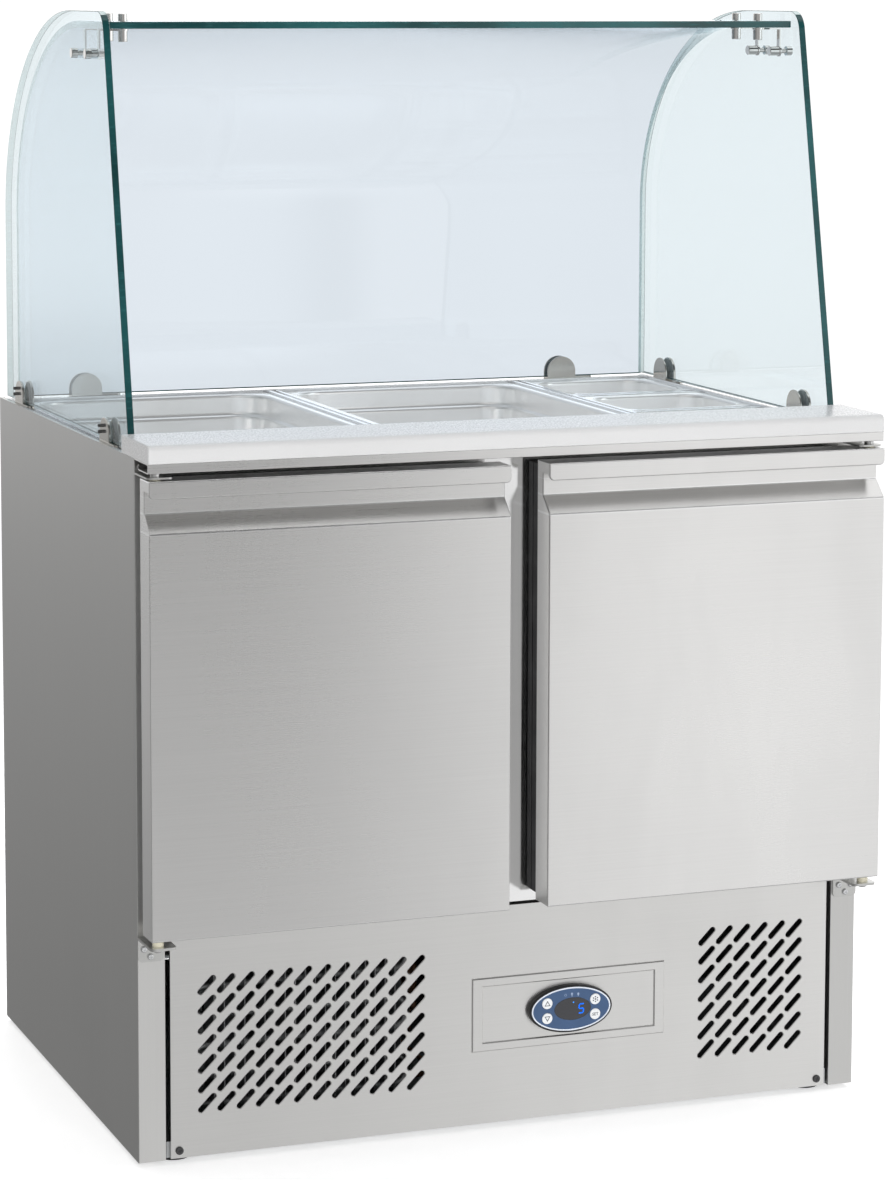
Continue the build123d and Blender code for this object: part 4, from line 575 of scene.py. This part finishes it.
# ------------------------------------------------------------------ gastronorm pans
def pan(node, body, xc, yc, w, l, inset, r_top):
    """Pressed pan: rolled rim, rounded stacking shoulder, drawn walls with a taper and a wide bottom radius."""
    t = 0.9
    top, flat_bottom = 810.2, 745.1
    hx, hy = w / 2, l / 2
    prof = [  # distance in from the rim's edge, height, corner radius of that ring
        (0.35, 808.35, 9.0), (0.05, 808.6, 9.0), (0.0, 809.3, 9.0), (0.15, 809.85, 9.0), (0.6, 810.15, 9.0),
        (1.2, top, 9.0), (3.2, top - 0.05, 11.0), (inset - 3.4, top - 0.05, r_top + 2.0),
        (inset - 2.3, top - 0.25, r_top + 1.6), (inset - 1.2, top - 0.95, r_top + 1.0), (inset - 0.45, top - 2.1, r_top + 0.4),
        (inset - 0.1, top - 3.6, r_top), (inset, top - 5.5, r_top), (inset + 0.15, 787.5, r_top),
        (inset + 0.35, 785.6, r_top - 0.3), (inset + 0.95, 784.0, r_top - 0.9), (inset + 1.9, 783.0, r_top - 1.8),
        (inset + 2.7, 782.45, r_top - 2.6), (inset + 3.4, 781.7, r_top - 3.3), (inset + 3.9, 780.5, r_top - 3.8),
        (inset + 4.1, 778.6, r_top - 4.0),
    ]
    z_end = 757.5
    d_end = inset + 4.1 + (778.6 - z_end) * math.tan(math.radians(4.0))
    prof.append((inset + 4.1 + (778.6 - 768.0) * math.tan(math.radians(4.0)), 768.0, r_top - 4.7))
    prof.append((d_end, z_end, r_top - 5.4))
    rb = 11.5
    for k in range(1, 8):
        a = math.radians(4.0 + (90.0 - 4.0) * k / 7)
        prof.append((d_end + rb * (math.cos(math.radians(4.0)) - math.cos(a)),
                     z_end - (z_end - flat_bottom) * (math.sin(a) - math.sin(math.radians(4.0))) / (1 - math.sin(math.radians(4.0))),
                     max(r_top - 5.4 - rb * (1 - math.cos(a)) * 0.9, 12.0)))
    last = prof[-1]
    prof.append((last[0] + 6.0, flat_bottom - 0.05, max(last[2] - 4.0, 8.0)))
    prof.append((last[0] + min(hx, hy) * 0.35, flat_bottom - 0.25, 8.0))
    inner = [[(xc + x, yc + y, z) for x, y in rounded_ring(hx - d, hy - d, r)] for d, z, r in prof]
    # the outer face follows at one sheet's thickness
    outer_prof = []
    body_prof = prof[8:]
    for i, (d, z, r) in enumerate(body_prof):
        a = body_prof[max(i - 1, 0)]
        b = body_prof[min(i + 1, len(body_prof) - 1)]
        td, tz = b[0] - a[0], b[1] - a[1]
        k = math.hypot(td, tz) or 1.0
        outer_prof.append((d + t * tz / k, z - t * td / k, r + t * abs(tz) / k))
    under = [(1.5, 808.35, 9.0), (1.55, 809.2, 9.0), (inset - 3.4, top - 1.0, r_top + 2.0)]
    outer = [[(xc + x, yc + y, z) for x, y in rounded_ring(hx - d, hy - d, max(r, 4.0))] for d, z, r in under + outer_prof]
    rings = list(reversed(outer)) + inner
    verts, faces = loft(rings)
    ob = add(node + "_sheet", [(x * MM, y * MM, z * MM) for x, y, z in verts], faces, [M["pan"]], body)
    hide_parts(node)
    return ob


pan("gn_pan_left", "pan_left", -267.5, 50.0, 324.0, 529.0, 11.0, 42.0)
pan("gn_pan_middle", "pan_middle", 74.5, 50.0, 324.0, 529.0, 11.0, 42.0)
for part, yc in (("rear", 234.0), ("middle", 50.0), ("front", -134.0)):
    pan("gn_pan_sixth_" + part, "pan_sixth_" + part, 342.0, yc, 175.0, 161.0, 10.0, 30.0)


# ------------------------------------------------------------------ glass
def fillet_corner(p0, p1, p2, r, n=12):
    """Points round the corner p1 between p0 and p2, of radius r."""
    a = (Vector(p0) - Vector(p1)).normalized()
    b = (Vector(p2) - Vector(p1)).normalized()
    half = math.acos(max(-1, min(1, a.dot(b)))) / 2
    d = r / math.tan(half)
    c = Vector(p1) + (a + b).normalized() * (r / math.sin(half))
    s, e = Vector(p1) + a * d, Vector(p1) + b * d
    a0, a1 = math.atan2(*(s - c).yx), math.atan2(*(e - c).yx)
    if a1 - a0 > math.pi:
        a1 -= 2 * math.pi
    if a1 - a0 < -math.pi:
        a1 += 2 * math.pi
    return [(c.x + r * math.cos(a0 + (a1 - a0) * i / n), c.y + r * math.sin(a0 + (a1 - a0) * i / n)) for i in range(n + 1)]


def slab(outline, x0, x1, ease):
    """Rings of a flat plate with eased edges, from the middle of one face to the middle of the other."""
    n = len(outline)
    pts = [Vector(p) for p in outline]
    inner = []
    for i in range(n):
        a, b, c = pts[i - 1], pts[i], pts[(i + 1) % n]
        t1, t2 = (b - a).normalized(), (c - b).normalized()
        nrm = Vector((t1.y + t2.y, -(t1.x + t2.x)))
        nrm.normalize()
        k = max(0.35, math.sqrt(max(0.0, (1 + t1.dot(t2)) / 2)))
        inner.append((nrm, ease / k))
    area = sum(pts[i].x * pts[(i + 1) % n].y - pts[(i + 1) % n].x * pts[i].y for i in range(n))
    s = -1.0 if area > 0 else 1.0

    def ring(x, inset):
        return [(x, p.x + s * q[0].x * q[1] / ease * inset, p.y + s * q[0].y * q[1] / ease * inset) for p, q in zip(pts, inner)]

    c = ease * 0.29
    return [ring(x0, ease), ring(x0 + c, c), ring(x0 + ease, 0.0), ring(x1 - ease, 0.0), ring(x1 - c, c), ring(x1, ease)]


def side_glass(side):
    cy, cz, a, b = 15.0, 1046.0, 327.5, 259.0
    back = [(342.5, 815.0), (342.5, 930.0), (342.5, 1046.0)]
    curve = [(cy + a * math.sin(math.radians(v)), cz + b * math.cos(math.radians(v))) for v in [90 - 90 * i / 40 for i in range(1, 41)]]
    front_top = (-134.8, 1305.0)
    corner = fillet_corner((15.0, 1305.0), front_top, (-231.4, 833.0), 26.0)
    low = fillet_corner(front_top, (-231.4, 833.0), (-231.4, 815.0), 30.0, 4)
    outline = back + curve + corner + low + [(-231.4, 815.0)]
    x0, x1 = sorted((side * 433.0, side * 441.0))
    rings = slab(outline, x0, x1, 0.7)
    verts, faces = loft(rings)
    n = len(outline)
    first_dark = len(back) + len(curve) + 5
    eased = [1] * n
    ring_mats = [1 if i >= first_dark else 2 for i in range(n)]
    mats = eased + ring_mats * (len(rings) - 3) + eased + [0, 0]
    return verts, faces, mats


verts, faces, mats = [], [], []
for s in (-1, 1):
    v, f, m = side_glass(s)
    k = len(verts)
    verts += v
    faces += [tuple(i + k for i in q) for q in f]
    mats += m
sides = add("side_panes", [(x * MM, y * MM, z * MM) for x, y, z in verts], faces, [M["glass"], M["glass_edge"], M["glass_rim"]],
            "cabinet", mats, smooth=False)
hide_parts("side_glasses")


def curved_pane():
    """One sheet bent over the top and down the back, 8 mm thick, with eased edges all round."""
    cy, cz = 15.0, 1046.0
    path = []  # outer point, inner point
    for y in (-124.5, -90.0, -40.0, 15.0):
        path.append(((y, 1293.0), (y, 1285.0)))
    for i in range(1, 41):
        a = math.radians(90.0 * i / 40)
        o = (cy + 317.5 * math.sin(a), cz + 247.0 * math.cos(a))
        q = (cy + 309.5 * math.sin(a), cz + 239.0 * math.cos(a))
        path.append((o, q))
    for z in (1000.0, 930.0, 870.0, 815.0):
        path.append(((332.5, z), (324.5, z)))
    e = 0.7
    rings = []
    for o, q in path:
        o, q = Vector(o), Vector(q)
        u = (o - q).normalized()
        c = e * 0.29
        pts = []
        for x, p in ((-429.0 + e, o), (-429.0 + c, o - u * c), (-429.0, o - u * e), (-429.0, q + u * e), (-429.0 + c, q + u * c),
                     (-429.0 + e, q), (429.0 - e, q), (429.0 - c, q + u * c), (429.0, q + u * e), (429.0, o - u * e),
                     (429.0 - c, o - u * c), (429.0 - e, o)):
            pts.append((x, p.x, p.y))
        rings.append(pts)
    # eased ends
    def pulled(ring, along, k, shrink):
        cx = sum(p[0] for p in ring) / 12
        cyy = sum(p[1] for p in ring) / 12
        czz = sum(p[2] for p in ring) / 12
        out = []
        for p in ring:
            x = p[0] + (shrink if p[0] < cx else -shrink)
            y, z = p[1], p[2]
            if along == "y":
                y += k
                z += shrink if z < czz else -shrink
            else:
                z += k
                y += shrink if y < cyy else -shrink
            out.append((x, y, z))
        return out
    first, last = rings[0], rings[-1]
    rings[0] = pulled(first, "y", e, 0.0)
    rings.insert(0, pulled(first, "y", 0.0, e))
    rings[-1] = pulled(last, "z", e, 0.0)
    rings.append(pulled(last, "z", 0.0, e))
    verts, faces = loft(rings)
    n = 12
    mats = []
    total = len(rings) - 1
    for k in range(total):
        for i in range(n):
            big = i in (5, 11)
            mats.append(1 if k == 0 or k == total - 1 else 0 if big else 2)
    mats += [1, 1]
    return verts, faces, mats


v, f, m = curved_pane()
bent = add("bent_pane", [(x * MM, y * MM, z * MM) for x, y, z in v], f, [M["bent_glass"], M["glass_edge"], M["glass_rim"]],
           "cabinet", m)
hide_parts("curved_glass")
for p in bent.data.polygons:
    p.use_smooth = p.material_index == 0


# ------------------------------------------------------------------ controller face
CX, CZ = 76.0, 137.0


def ellipse(cx, cz, a, b, n=72):
    return [(cx + a * math.cos(2 * math.pi * i / n), cz + b * math.sin(2 * math.pi * i / n)) for i in range(n)]


def flat_shape(name, loops, y_front, thick, mat, body):
    """A thin plate in the front plane, filled between its loops (x, z in mm)."""
    cu = bpy.data.curves.new(name, "CURVE")
    cu.dimensions = "2D"
    cu.fill_mode = "BOTH"
    cu.extrude = thick / 2 * MM
    for loop in loops:
        sp = cu.splines.new("POLY")
        sp.points.add(len(loop) - 1)
        for p, (x, z) in zip(sp.points, loop):
            p.co = (x * MM, z * MM, 0.0, 1.0)
        sp.use_cyclic_u = True
    tmp = bpy.data.objects.new(name + "_c", cu)
    bpy.context.scene.collection.objects.link(tmp)
    dg = bpy.context.evaluated_depsgraph_get()
    me = bpy.data.meshes.new_from_object(tmp.evaluated_get(dg))
    bpy.data.objects.remove(tmp)
    me.name = name
    me.transform(Matrix(((1, 0, 0, 0), (0, 0, -1, (y_front + thick / 2) * MM), (0, 1, 0, 0), (0, 0, 0, 1))))
    me.materials.clear()
    me.materials.append(mat)
    bm = bmesh.new()
    bm.from_mesh(me)
    bmesh.ops.remove_doubles(bm, verts=bm.verts, dist=1e-7)
    bmesh.ops.recalc_face_normals(bm, faces=bm.faces)
    bm.to_mesh(me)
    bm.free()
    for p in me.polygons:
        p.use_smooth = False
    ob = bpy.data.objects.new(name, me)
    bpy.context.scene.collection.objects.link(ob)
    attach(ob, body)
    return ob


def text_shape(name, body_text, cx, cz, height, y_front, thick, mat, body):
    cu = bpy.data.curves.new(name, "FONT")
    cu.body = body_text
    cu.align_x, cu.align_y = "CENTER", "CENTER"
    cu.size = height * MM * 1.42
    cu.extrude = thick / 2 * MM
    cu.offset = 0.00006
    tmp = bpy.data.objects.new(name + "_c", cu)
    bpy.context.scene.collection.objects.link(tmp)
    dg = bpy.context.evaluated_depsgraph_get()
    me = bpy.data.meshes.new_from_object(tmp.evaluated_get(dg))
    bpy.data.objects.remove(tmp)
    me.name = name
    xs = [v.co.x for v in me.vertices]
    ys = [v.co.y for v in me.vertices]
    mx, my = (min(xs) + max(xs)) / 2, (min(ys) + max(ys)) / 2
    me.transform(Matrix.Translation((cx * MM - mx, cz * MM - my, 0)))
    me.transform(Matrix(((1, 0, 0, 0), (0, 0, -1, (y_front + thick / 2) * MM), (0, 1, 0, 0), (0, 0, 0, 1))))
    me.materials.clear()
    me.materials.append(mat)
    ob = bpy.data.objects.new(name, me)
    bpy.context.scene.collection.objects.link(ob)
    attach(ob, body)
    return ob


BUTTONS = {"up_button": (-30.5, 9.0), "down_button": (-30.5, -9.0), "aux_button": (30.5, 9.0), "set_button": (30.5, -9.0)}
Y_FACE = -297.0
holes = [ellipse(CX + 1.8, CZ, 23.4, 13.6)] + [ellipse(CX + dx, CZ + dz, 6.75, 6.75, 40) for dx, dz in BUTTONS.values()]
flat_shape("panel_film_field", [ellipse(CX, CZ, 48.3, 24.4)] + holes, Y_FACE - 0.12, 0.14, M["blue_film"], "cabinet")
flat_shape("panel_film_ring", [ellipse(CX, CZ, 50.0, 26.1), ellipse(CX, CZ, 48.35, 24.45)], Y_FACE - 0.16, 0.18,
           M["silver_film"], "cabinet")

# seven-segment figure, with square-cut ends and a slight lean
DX, DZ = CX + 1.8 + 10.9, CZ - 0.6


def segment(x0, z0, x1, z1, w=1.5):
    lean = 0.10
    a, b = Vector((x0, z0)), Vector((x1, z1))
    u = (b - a).normalized()
    n = Vector((-u.y, u.x)) * w / 2
    pts = [a + u * 0.1, a + u * w / 2 + n, b - u * w / 2 + n, b - u * 0.1, b - u * w / 2 - n, a + u * w / 2 - n]
    return [(DX + p.x + p.y * lean, DZ + p.y) for p in pts]


W2, H2 = 3.0, 5.4
segs = [segment(-W2, H2, W2, H2), segment(-W2, H2, -W2, 0), segment(-W2, 0, W2, 0), segment(W2, 0, W2, -H2), segment(W2, -H2, -W2, -H2)]
flat_shape("figure_five", segs, Y_FACE - 0.34, 0.12, M["digit"], "cabinet")
flat_shape("status_dot", [ellipse(CX + 1.8 + 1.0, CZ + 7.7, 0.75, 0.75, 20)], Y_FACE - 0.34, 0.12, M["dot"], "cabinet")


def stroke_loop(points, w):
    """Outline of a closed path of width w, as an outer and an inner loop."""
    n = len(points)
    outs = []
    for sgn in (1, -1):
        loop = []
        for i in range(n):
            a, b, c = Vector(points[i - 1]), Vector(points[i]), Vector(points[(i + 1) % n])
            t1, t2 = (b - a).normalized(), (c - b).normalized()
            nrm = Vector((t1.y + t2.y, -(t1.x + t2.x))).normalized()
            k = max(0.3, math.sqrt(max(0.0, (1 + t1.dot(t2)) / 2)))
            loop.append(tuple(b + nrm * sgn * w / 2 / k))
        outs.append(loop)
    return outs


Y_BTN = -297.9


def triangle(cx, cz, up):
    s = 1 if up else -1
    return [(cx - 3.0, cz - 2.1 * s), (cx + 3.0, cz - 2.1 * s), (cx, cz + 3.1 * s)]


for body, up in (("up_button", True), ("down_button", False)):
    dx, dz = BUTTONS[body]
    flat_shape(body + "_arrow", stroke_loop(triangle(CX + dx, CZ + dz - (0.3 if up else -0.3), up), 0.85), Y_BTN - 0.08, 0.12,
               M["symbol"], body)
dx, dz = BUTTONS["set_button"]
text_shape("set_button_word", "SET", CX + dx, CZ + dz, 3.6, Y_BTN - 0.08, 0.12, M["symbol"], "set_button")
dx, dz = BUTTONS["aux_button"]
drops = []
for k in range(6):
    a = math.radians(60 * k + 30)
    drops.append(ellipse(CX + dx + 2.9 * math.cos(a), CZ + dz + 2.9 * math.sin(a), 0.85, 0.85, 16))
drops.append(ellipse(CX + dx, CZ + dz, 1.05, 1.05, 16))
flat_shape("aux_button_star", drops, Y_BTN - 0.08, 0.12, M["symbol"], "aux_button")

# three small status pictograms above the window
icons = []
ix, iz = CX + 1.8 - 9.2, CZ + 17.0
for k in range(6):
    a = math.radians(60 * k)
    icons.append(ellipse(ix + 1.25 * math.cos(a), iz + 1.25 * math.sin(a), 0.42, 0.42, 10))
ix = CX + 1.8 - 1.0
icons.append(ellipse(ix, iz + 1.0, 1.25, 1.45, 20))
icons.append([(ix - 0.6, iz - 2.0), (ix + 0.6, iz - 2.0), (ix + 0.6, iz - 0.75), (ix - 0.6, iz - 0.75)])
ix = CX + 1.8 + 7.0
icons.append(ellipse(ix, iz + 0.2, 1.2, 1.6, 20))
icons.append(ellipse(ix, iz - 2.1, 0.5, 0.5, 12))
flat_shape("status_icons", icons, Y_FACE - 0.2, 0.1, M["icon"], "cabinet")


# ------------------------------------------------------------------ stage
def make_floor():
    """A pale matt floor: it takes a soft shadow near the object and runs out evenly to white."""
    bm = bmesh.new()
    rings, seg = [0.0, 0.7, 1.4, 2.4, 4.0, 7.0, 12.0], 64
    prev = None
    centre = bm.verts.new((0, 0, 0))
    for r in rings[1:]:
        ring = [bm.verts.new((r * math.cos(2 * math.pi * i / seg), r * math.sin(2 * math.pi * i / seg), 0)) for i in range(seg)]
        for i in range(seg):
            j = (i + 1) % seg
            if prev is None:
                bm.faces.new((centre, ring[i], ring[j]))
            else:
                bm.faces.new((prev[i], ring[i], ring[j], prev[j]))
        prev = ring
    me = bpy.data.meshes.new("studio_floor")
    bm.to_mesh(me)
    bm.free()
    ob = bpy.data.objects.new("studio_floor", me)
    bpy.context.scene.collection.objects.link(ob)
    t = Tree("pale_floor")
    n = t.noise(40.0, 3.0, 0.5)
    fine = t.noise(350.0, 3.0, 0.5)
    col = t.mix(t.remap(n, 0.3, 0.7, 0, 1), (0.86, 0.86, 0.86), (0.90, 0.90, 0.90))
    d = t.principled(Base_Color=col, Roughness=0.85, Specular_IOR_Level=0.1, Normal=t.bump(fine, 0.03, 0.0004))
    e = t.node("ShaderNodeEmission")
    e.inputs["Color"].default_value = (1, 1, 1, 1)
    e.inputs["Strength"].default_value = 0.45
    s = t.node("ShaderNodeAddShader")
    t.link(d.outputs[0], s.inputs[0])
    t.link(e.outputs[0], s.inputs[1])
    far = t.node("ShaderNodeEmission")
    far.inputs["Color"].default_value = (1, 1, 1, 1)
    far.inputs["Strength"].default_value = 1.08
    sep = t.node("ShaderNodeVectorMath", operation="LENGTH")
    t.link(t.obj(), sep.inputs[0])
    k = t.remap(sep.outputs["Value"], 1.6, 4.0, 0.0, 1.0, smooth=True)
    m = t.node("ShaderNodeMixShader")
    t.link(k, m.inputs[0])
    t.link(s.outputs[0], m.inputs[1])
    t.link(far.outputs[0], m.inputs[2])
    me.materials.append(t.done(m.outputs[0]))
    ob.visible_glossy = False
    return ob


floor = make_floor()


def make_world():
    """Soft studio surroundings: bright above and to the right, dimmer to the left and behind."""
    w = bpy.data.worlds.new("studio")
    bpy.context.scene.world = w
    w.use_nodes = True
    nt = w.node_tree
    nt.nodes.clear()
    new, link = nt.nodes.new, nt.links.new
    tc = new("ShaderNodeTexCoord")
    sep = new("ShaderNodeSeparateXYZ")
    link(tc.outputs["Generated"], sep.inputs[0])

    def m(op, a, b=None, clamp=False):
        n = new("ShaderNodeMath")
        n.operation, n.use_clamp = op, clamp
        for i, v in enumerate((a, b)):
            if v is None:
                continue
            if isinstance(v, (int, float)):
                n.inputs[i].default_value = v
            else:
                link(v, n.inputs[i])
        return n.outputs[0]

    def ramp(v, stops):
        n = new("ShaderNodeValToRGB")
        cr = n.color_ramp
        cr.interpolation = "EASE"
        while len(cr.elements) > 1:
            cr.elements.remove(cr.elements[-1])
        cr.elements[0].position, cr.elements[0].color = stops[0][0], rgba(stops[0][1])
        for p, c in stops[1:]:
            cr.elements.new(p).color = rgba(c)
        link(v, n.inputs["Fac"])
        return n.outputs["Color"]

    az = m("ARCTAN2", sep.outputs["X"], m("MULTIPLY", sep.outputs["Y"], -1.0))
    az01 = m("ADD", m("DIVIDE", az, 2 * math.pi), 0.5)
    el = m("ARCSINE", sep.outputs["Z"])
    el01 = m("ADD", m("DIVIDE", el, math.pi), 0.5)

    def a(deg):
        return (deg + 180.0) / 360.0

    def e(deg):
        return (deg + 90.0) / 180.0

    def band(below, above, z0, z1):
        f = ramp(el01, [(e(z0), 0.0), (e(z1), 1.0)])
        mix = new("ShaderNodeMix")
        mix.data_type = "RGBA"
        link(f, mix.inputs[0])
        for k, v in ((6, below), (7, above)):
            if isinstance(v, tuple):
                mix.inputs[k].default_value = rgba(v)
            else:
                link(v, mix.inputs[k])
        return mix.outputs[2]

    def sweep(stops):
        return ramp(az01, [(a(d), v) for d, v in stops])

    # the surroundings level by level, from the floor up to the ceiling
    floor_level = sweep([(-180, 0.42), (-150, 0.42), (-90, 0.30), (-30, 0.34), (8, 0.34), (24, 0.38), (60, 0.40), (150, 0.55), (180, 0.42)])
    low = sweep([(-180, 0.30), (-164, 0.15), (-140, 0.24), (-110, 0.24), (-70, 0.24), (-38, 0.42), (0, 0.70), (15, 1.06), (18.5, 0.76),
                 (20, 0.78), (22, 1.16), (25, 1.06), (31, 0.56), (45, 0.66), (90, 0.70), (150, 0.95), (168, 0.95), (180, 0.30)])
    mid = sweep([(-180, 0.38), (-164, 0.31), (-140, 0.34), (-110, 0.22), (-70, 0.22), (-38, 0.38), (0, 0.44), (10, 0.44), (14, 0.40),
                 (17, 0.10), (18.5, 0.10), (20, 0.38), (22, 1.25), (27, 1.20), (32, 0.90), (45, 0.80), (90, 0.80), (140, 1.30),
                 (168, 1.40), (175, 0.60), (180, 0.38)])
    horizon = sweep([(-180, 0.80), (-164, 1.00), (-140, 0.64), (-110, 0.22), (-70, 0.22), (-38, 0.40), (-5, 0.42), (8, 0.40),
                     (13, 0.20), (17, 0.07), (18.5, 0.09), (20, 0.44), (22, 1.36), (27, 1.34), (32, 1.10), (45, 0.95), (90, 0.90),
                     (140, 1.50), (168, 1.60), (180, 0.80)])
    upper = sweep([(-180, 0.74), (-164, 0.72), (-140, 0.60), (-110, 0.20), (-70, 0.20), (-38, 0.42), (-8, 0.42), (6, 0.38), (14, 0.16),
                   (18, 0.09), (20, 0.40), (22, 1.05), (25, 1.30), (32, 1.15), (45, 0.90), (90, 0.80), (140, 1.50), (168, 1.60),
                   (180, 0.74)])
    high = sweep([(-180, 0.80), (-130, 0.60), (-90, 0.30), (-40, 0.60), (-5, 0.50), (8, 0.24), (18, 0.04), (24, 0.02), (32, 0.03),
                  (50, 0.16), (100, 0.24), (130, 0.90), (165, 1.10), (180, 0.80)])
    sky = band(floor_level, low, -50.0, -18.0)
    sky = band(sky, mid, -18.0, -8.0)
    sky = band(sky, horizon, -8.0, -4.2)
    sky = band(sky, upper, -4.0, 8.0)
    sky = band(sky, high, 9.0, 27.0)
    ceiling = sweep([(-180, 1.0), (-120, 0.9), (-60, 0.30), (0, 0.06), (32, 0.06), (42, 0.34), (55, 1.10), (68, 1.60), (90, 1.20),
                     (125, 0.80), (180, 1.0)])
    down = band(sky, ceiling, 44.0, 60.0)
    bg = new("ShaderNodeBackground")
    link(down, bg.inputs["Color"])
    bg.inputs["Strength"].default_value = 1.0
    white = new("ShaderNodeBackground")
    white.inputs["Color"].default_value = (1, 1, 1, 1)
    white.inputs["Strength"].default_value = 1.08
    lp = new("ShaderNodeLightPath")
    ms = new("ShaderNodeMixShader")
    link(lp.outputs["Is Camera Ray"], ms.inputs[0])
    link(bg.outputs[0], ms.inputs[1])
    link(white.outputs[0], ms.inputs[2])
    out = new("ShaderNodeOutputWorld")
    link(ms.outputs[0], out.inputs["Surface"])


make_world()


def softbox(name, at, to, w, h, power, colour=(1, 1, 1), glossy=True, diffuse=True):
    data = bpy.data.lights.new(name, "AREA")
    data.shape = "RECTANGLE"
    data.size, data.size_y = w, h
    data.energy = power
    data.color = colour
    ob = bpy.data.objects.new(name, data)
    bpy.context.scene.collection.objects.link(ob)
    ob.location = at
    ob.rotation_euler = (Vector(to) - Vector(at)).to_track_quat("-Z", "Y").to_euler()
    ob.visible_camera = False
    ob.visible_glossy = glossy
    ob.visible_diffuse = diffuse
    return ob


softbox("top_box", (2.3, -0.9, 3.4), (2.3, -0.9, 0.0), 2.3, 4.4, 42.0, (1.0, 1.0, 1.02), glossy=False)
softbox("right_box", (3.6, -2.6, 2.4), (0.0, 0.0, 0.6), 1.8, 2.6, 16.0)
softbox("strip_box", (1.3, -4.3, 2.35), (0.0, -0.3, 0.75), 4.4, 0.55, 6.0, glossy=False)
softbox("front_fill", (-0.6, -4.6, 1.6), (0.0, -0.3, 0.7), 2.6, 1.6, 100.0, glossy=False)
softbox("well_fill", (0.2, 1.5, 2.6), (0.0, 0.05, 0.8), 1.6, 1.2, 30.0, glossy=False)
softbox("ceiling_fill", (-0.4, 0.2, 3.6), (-0.4, 0.2, 0.0), 3.0, 3.0, 8.0, (0.97, 0.99, 1.04), glossy=False)

scene = bpy.context.scene
scene.view_settings.view_transform = "Standard"
scene.view_settings.look = "None"
scene.view_settings.exposure = 0.0
scene.view_settings.gamma = 1.0
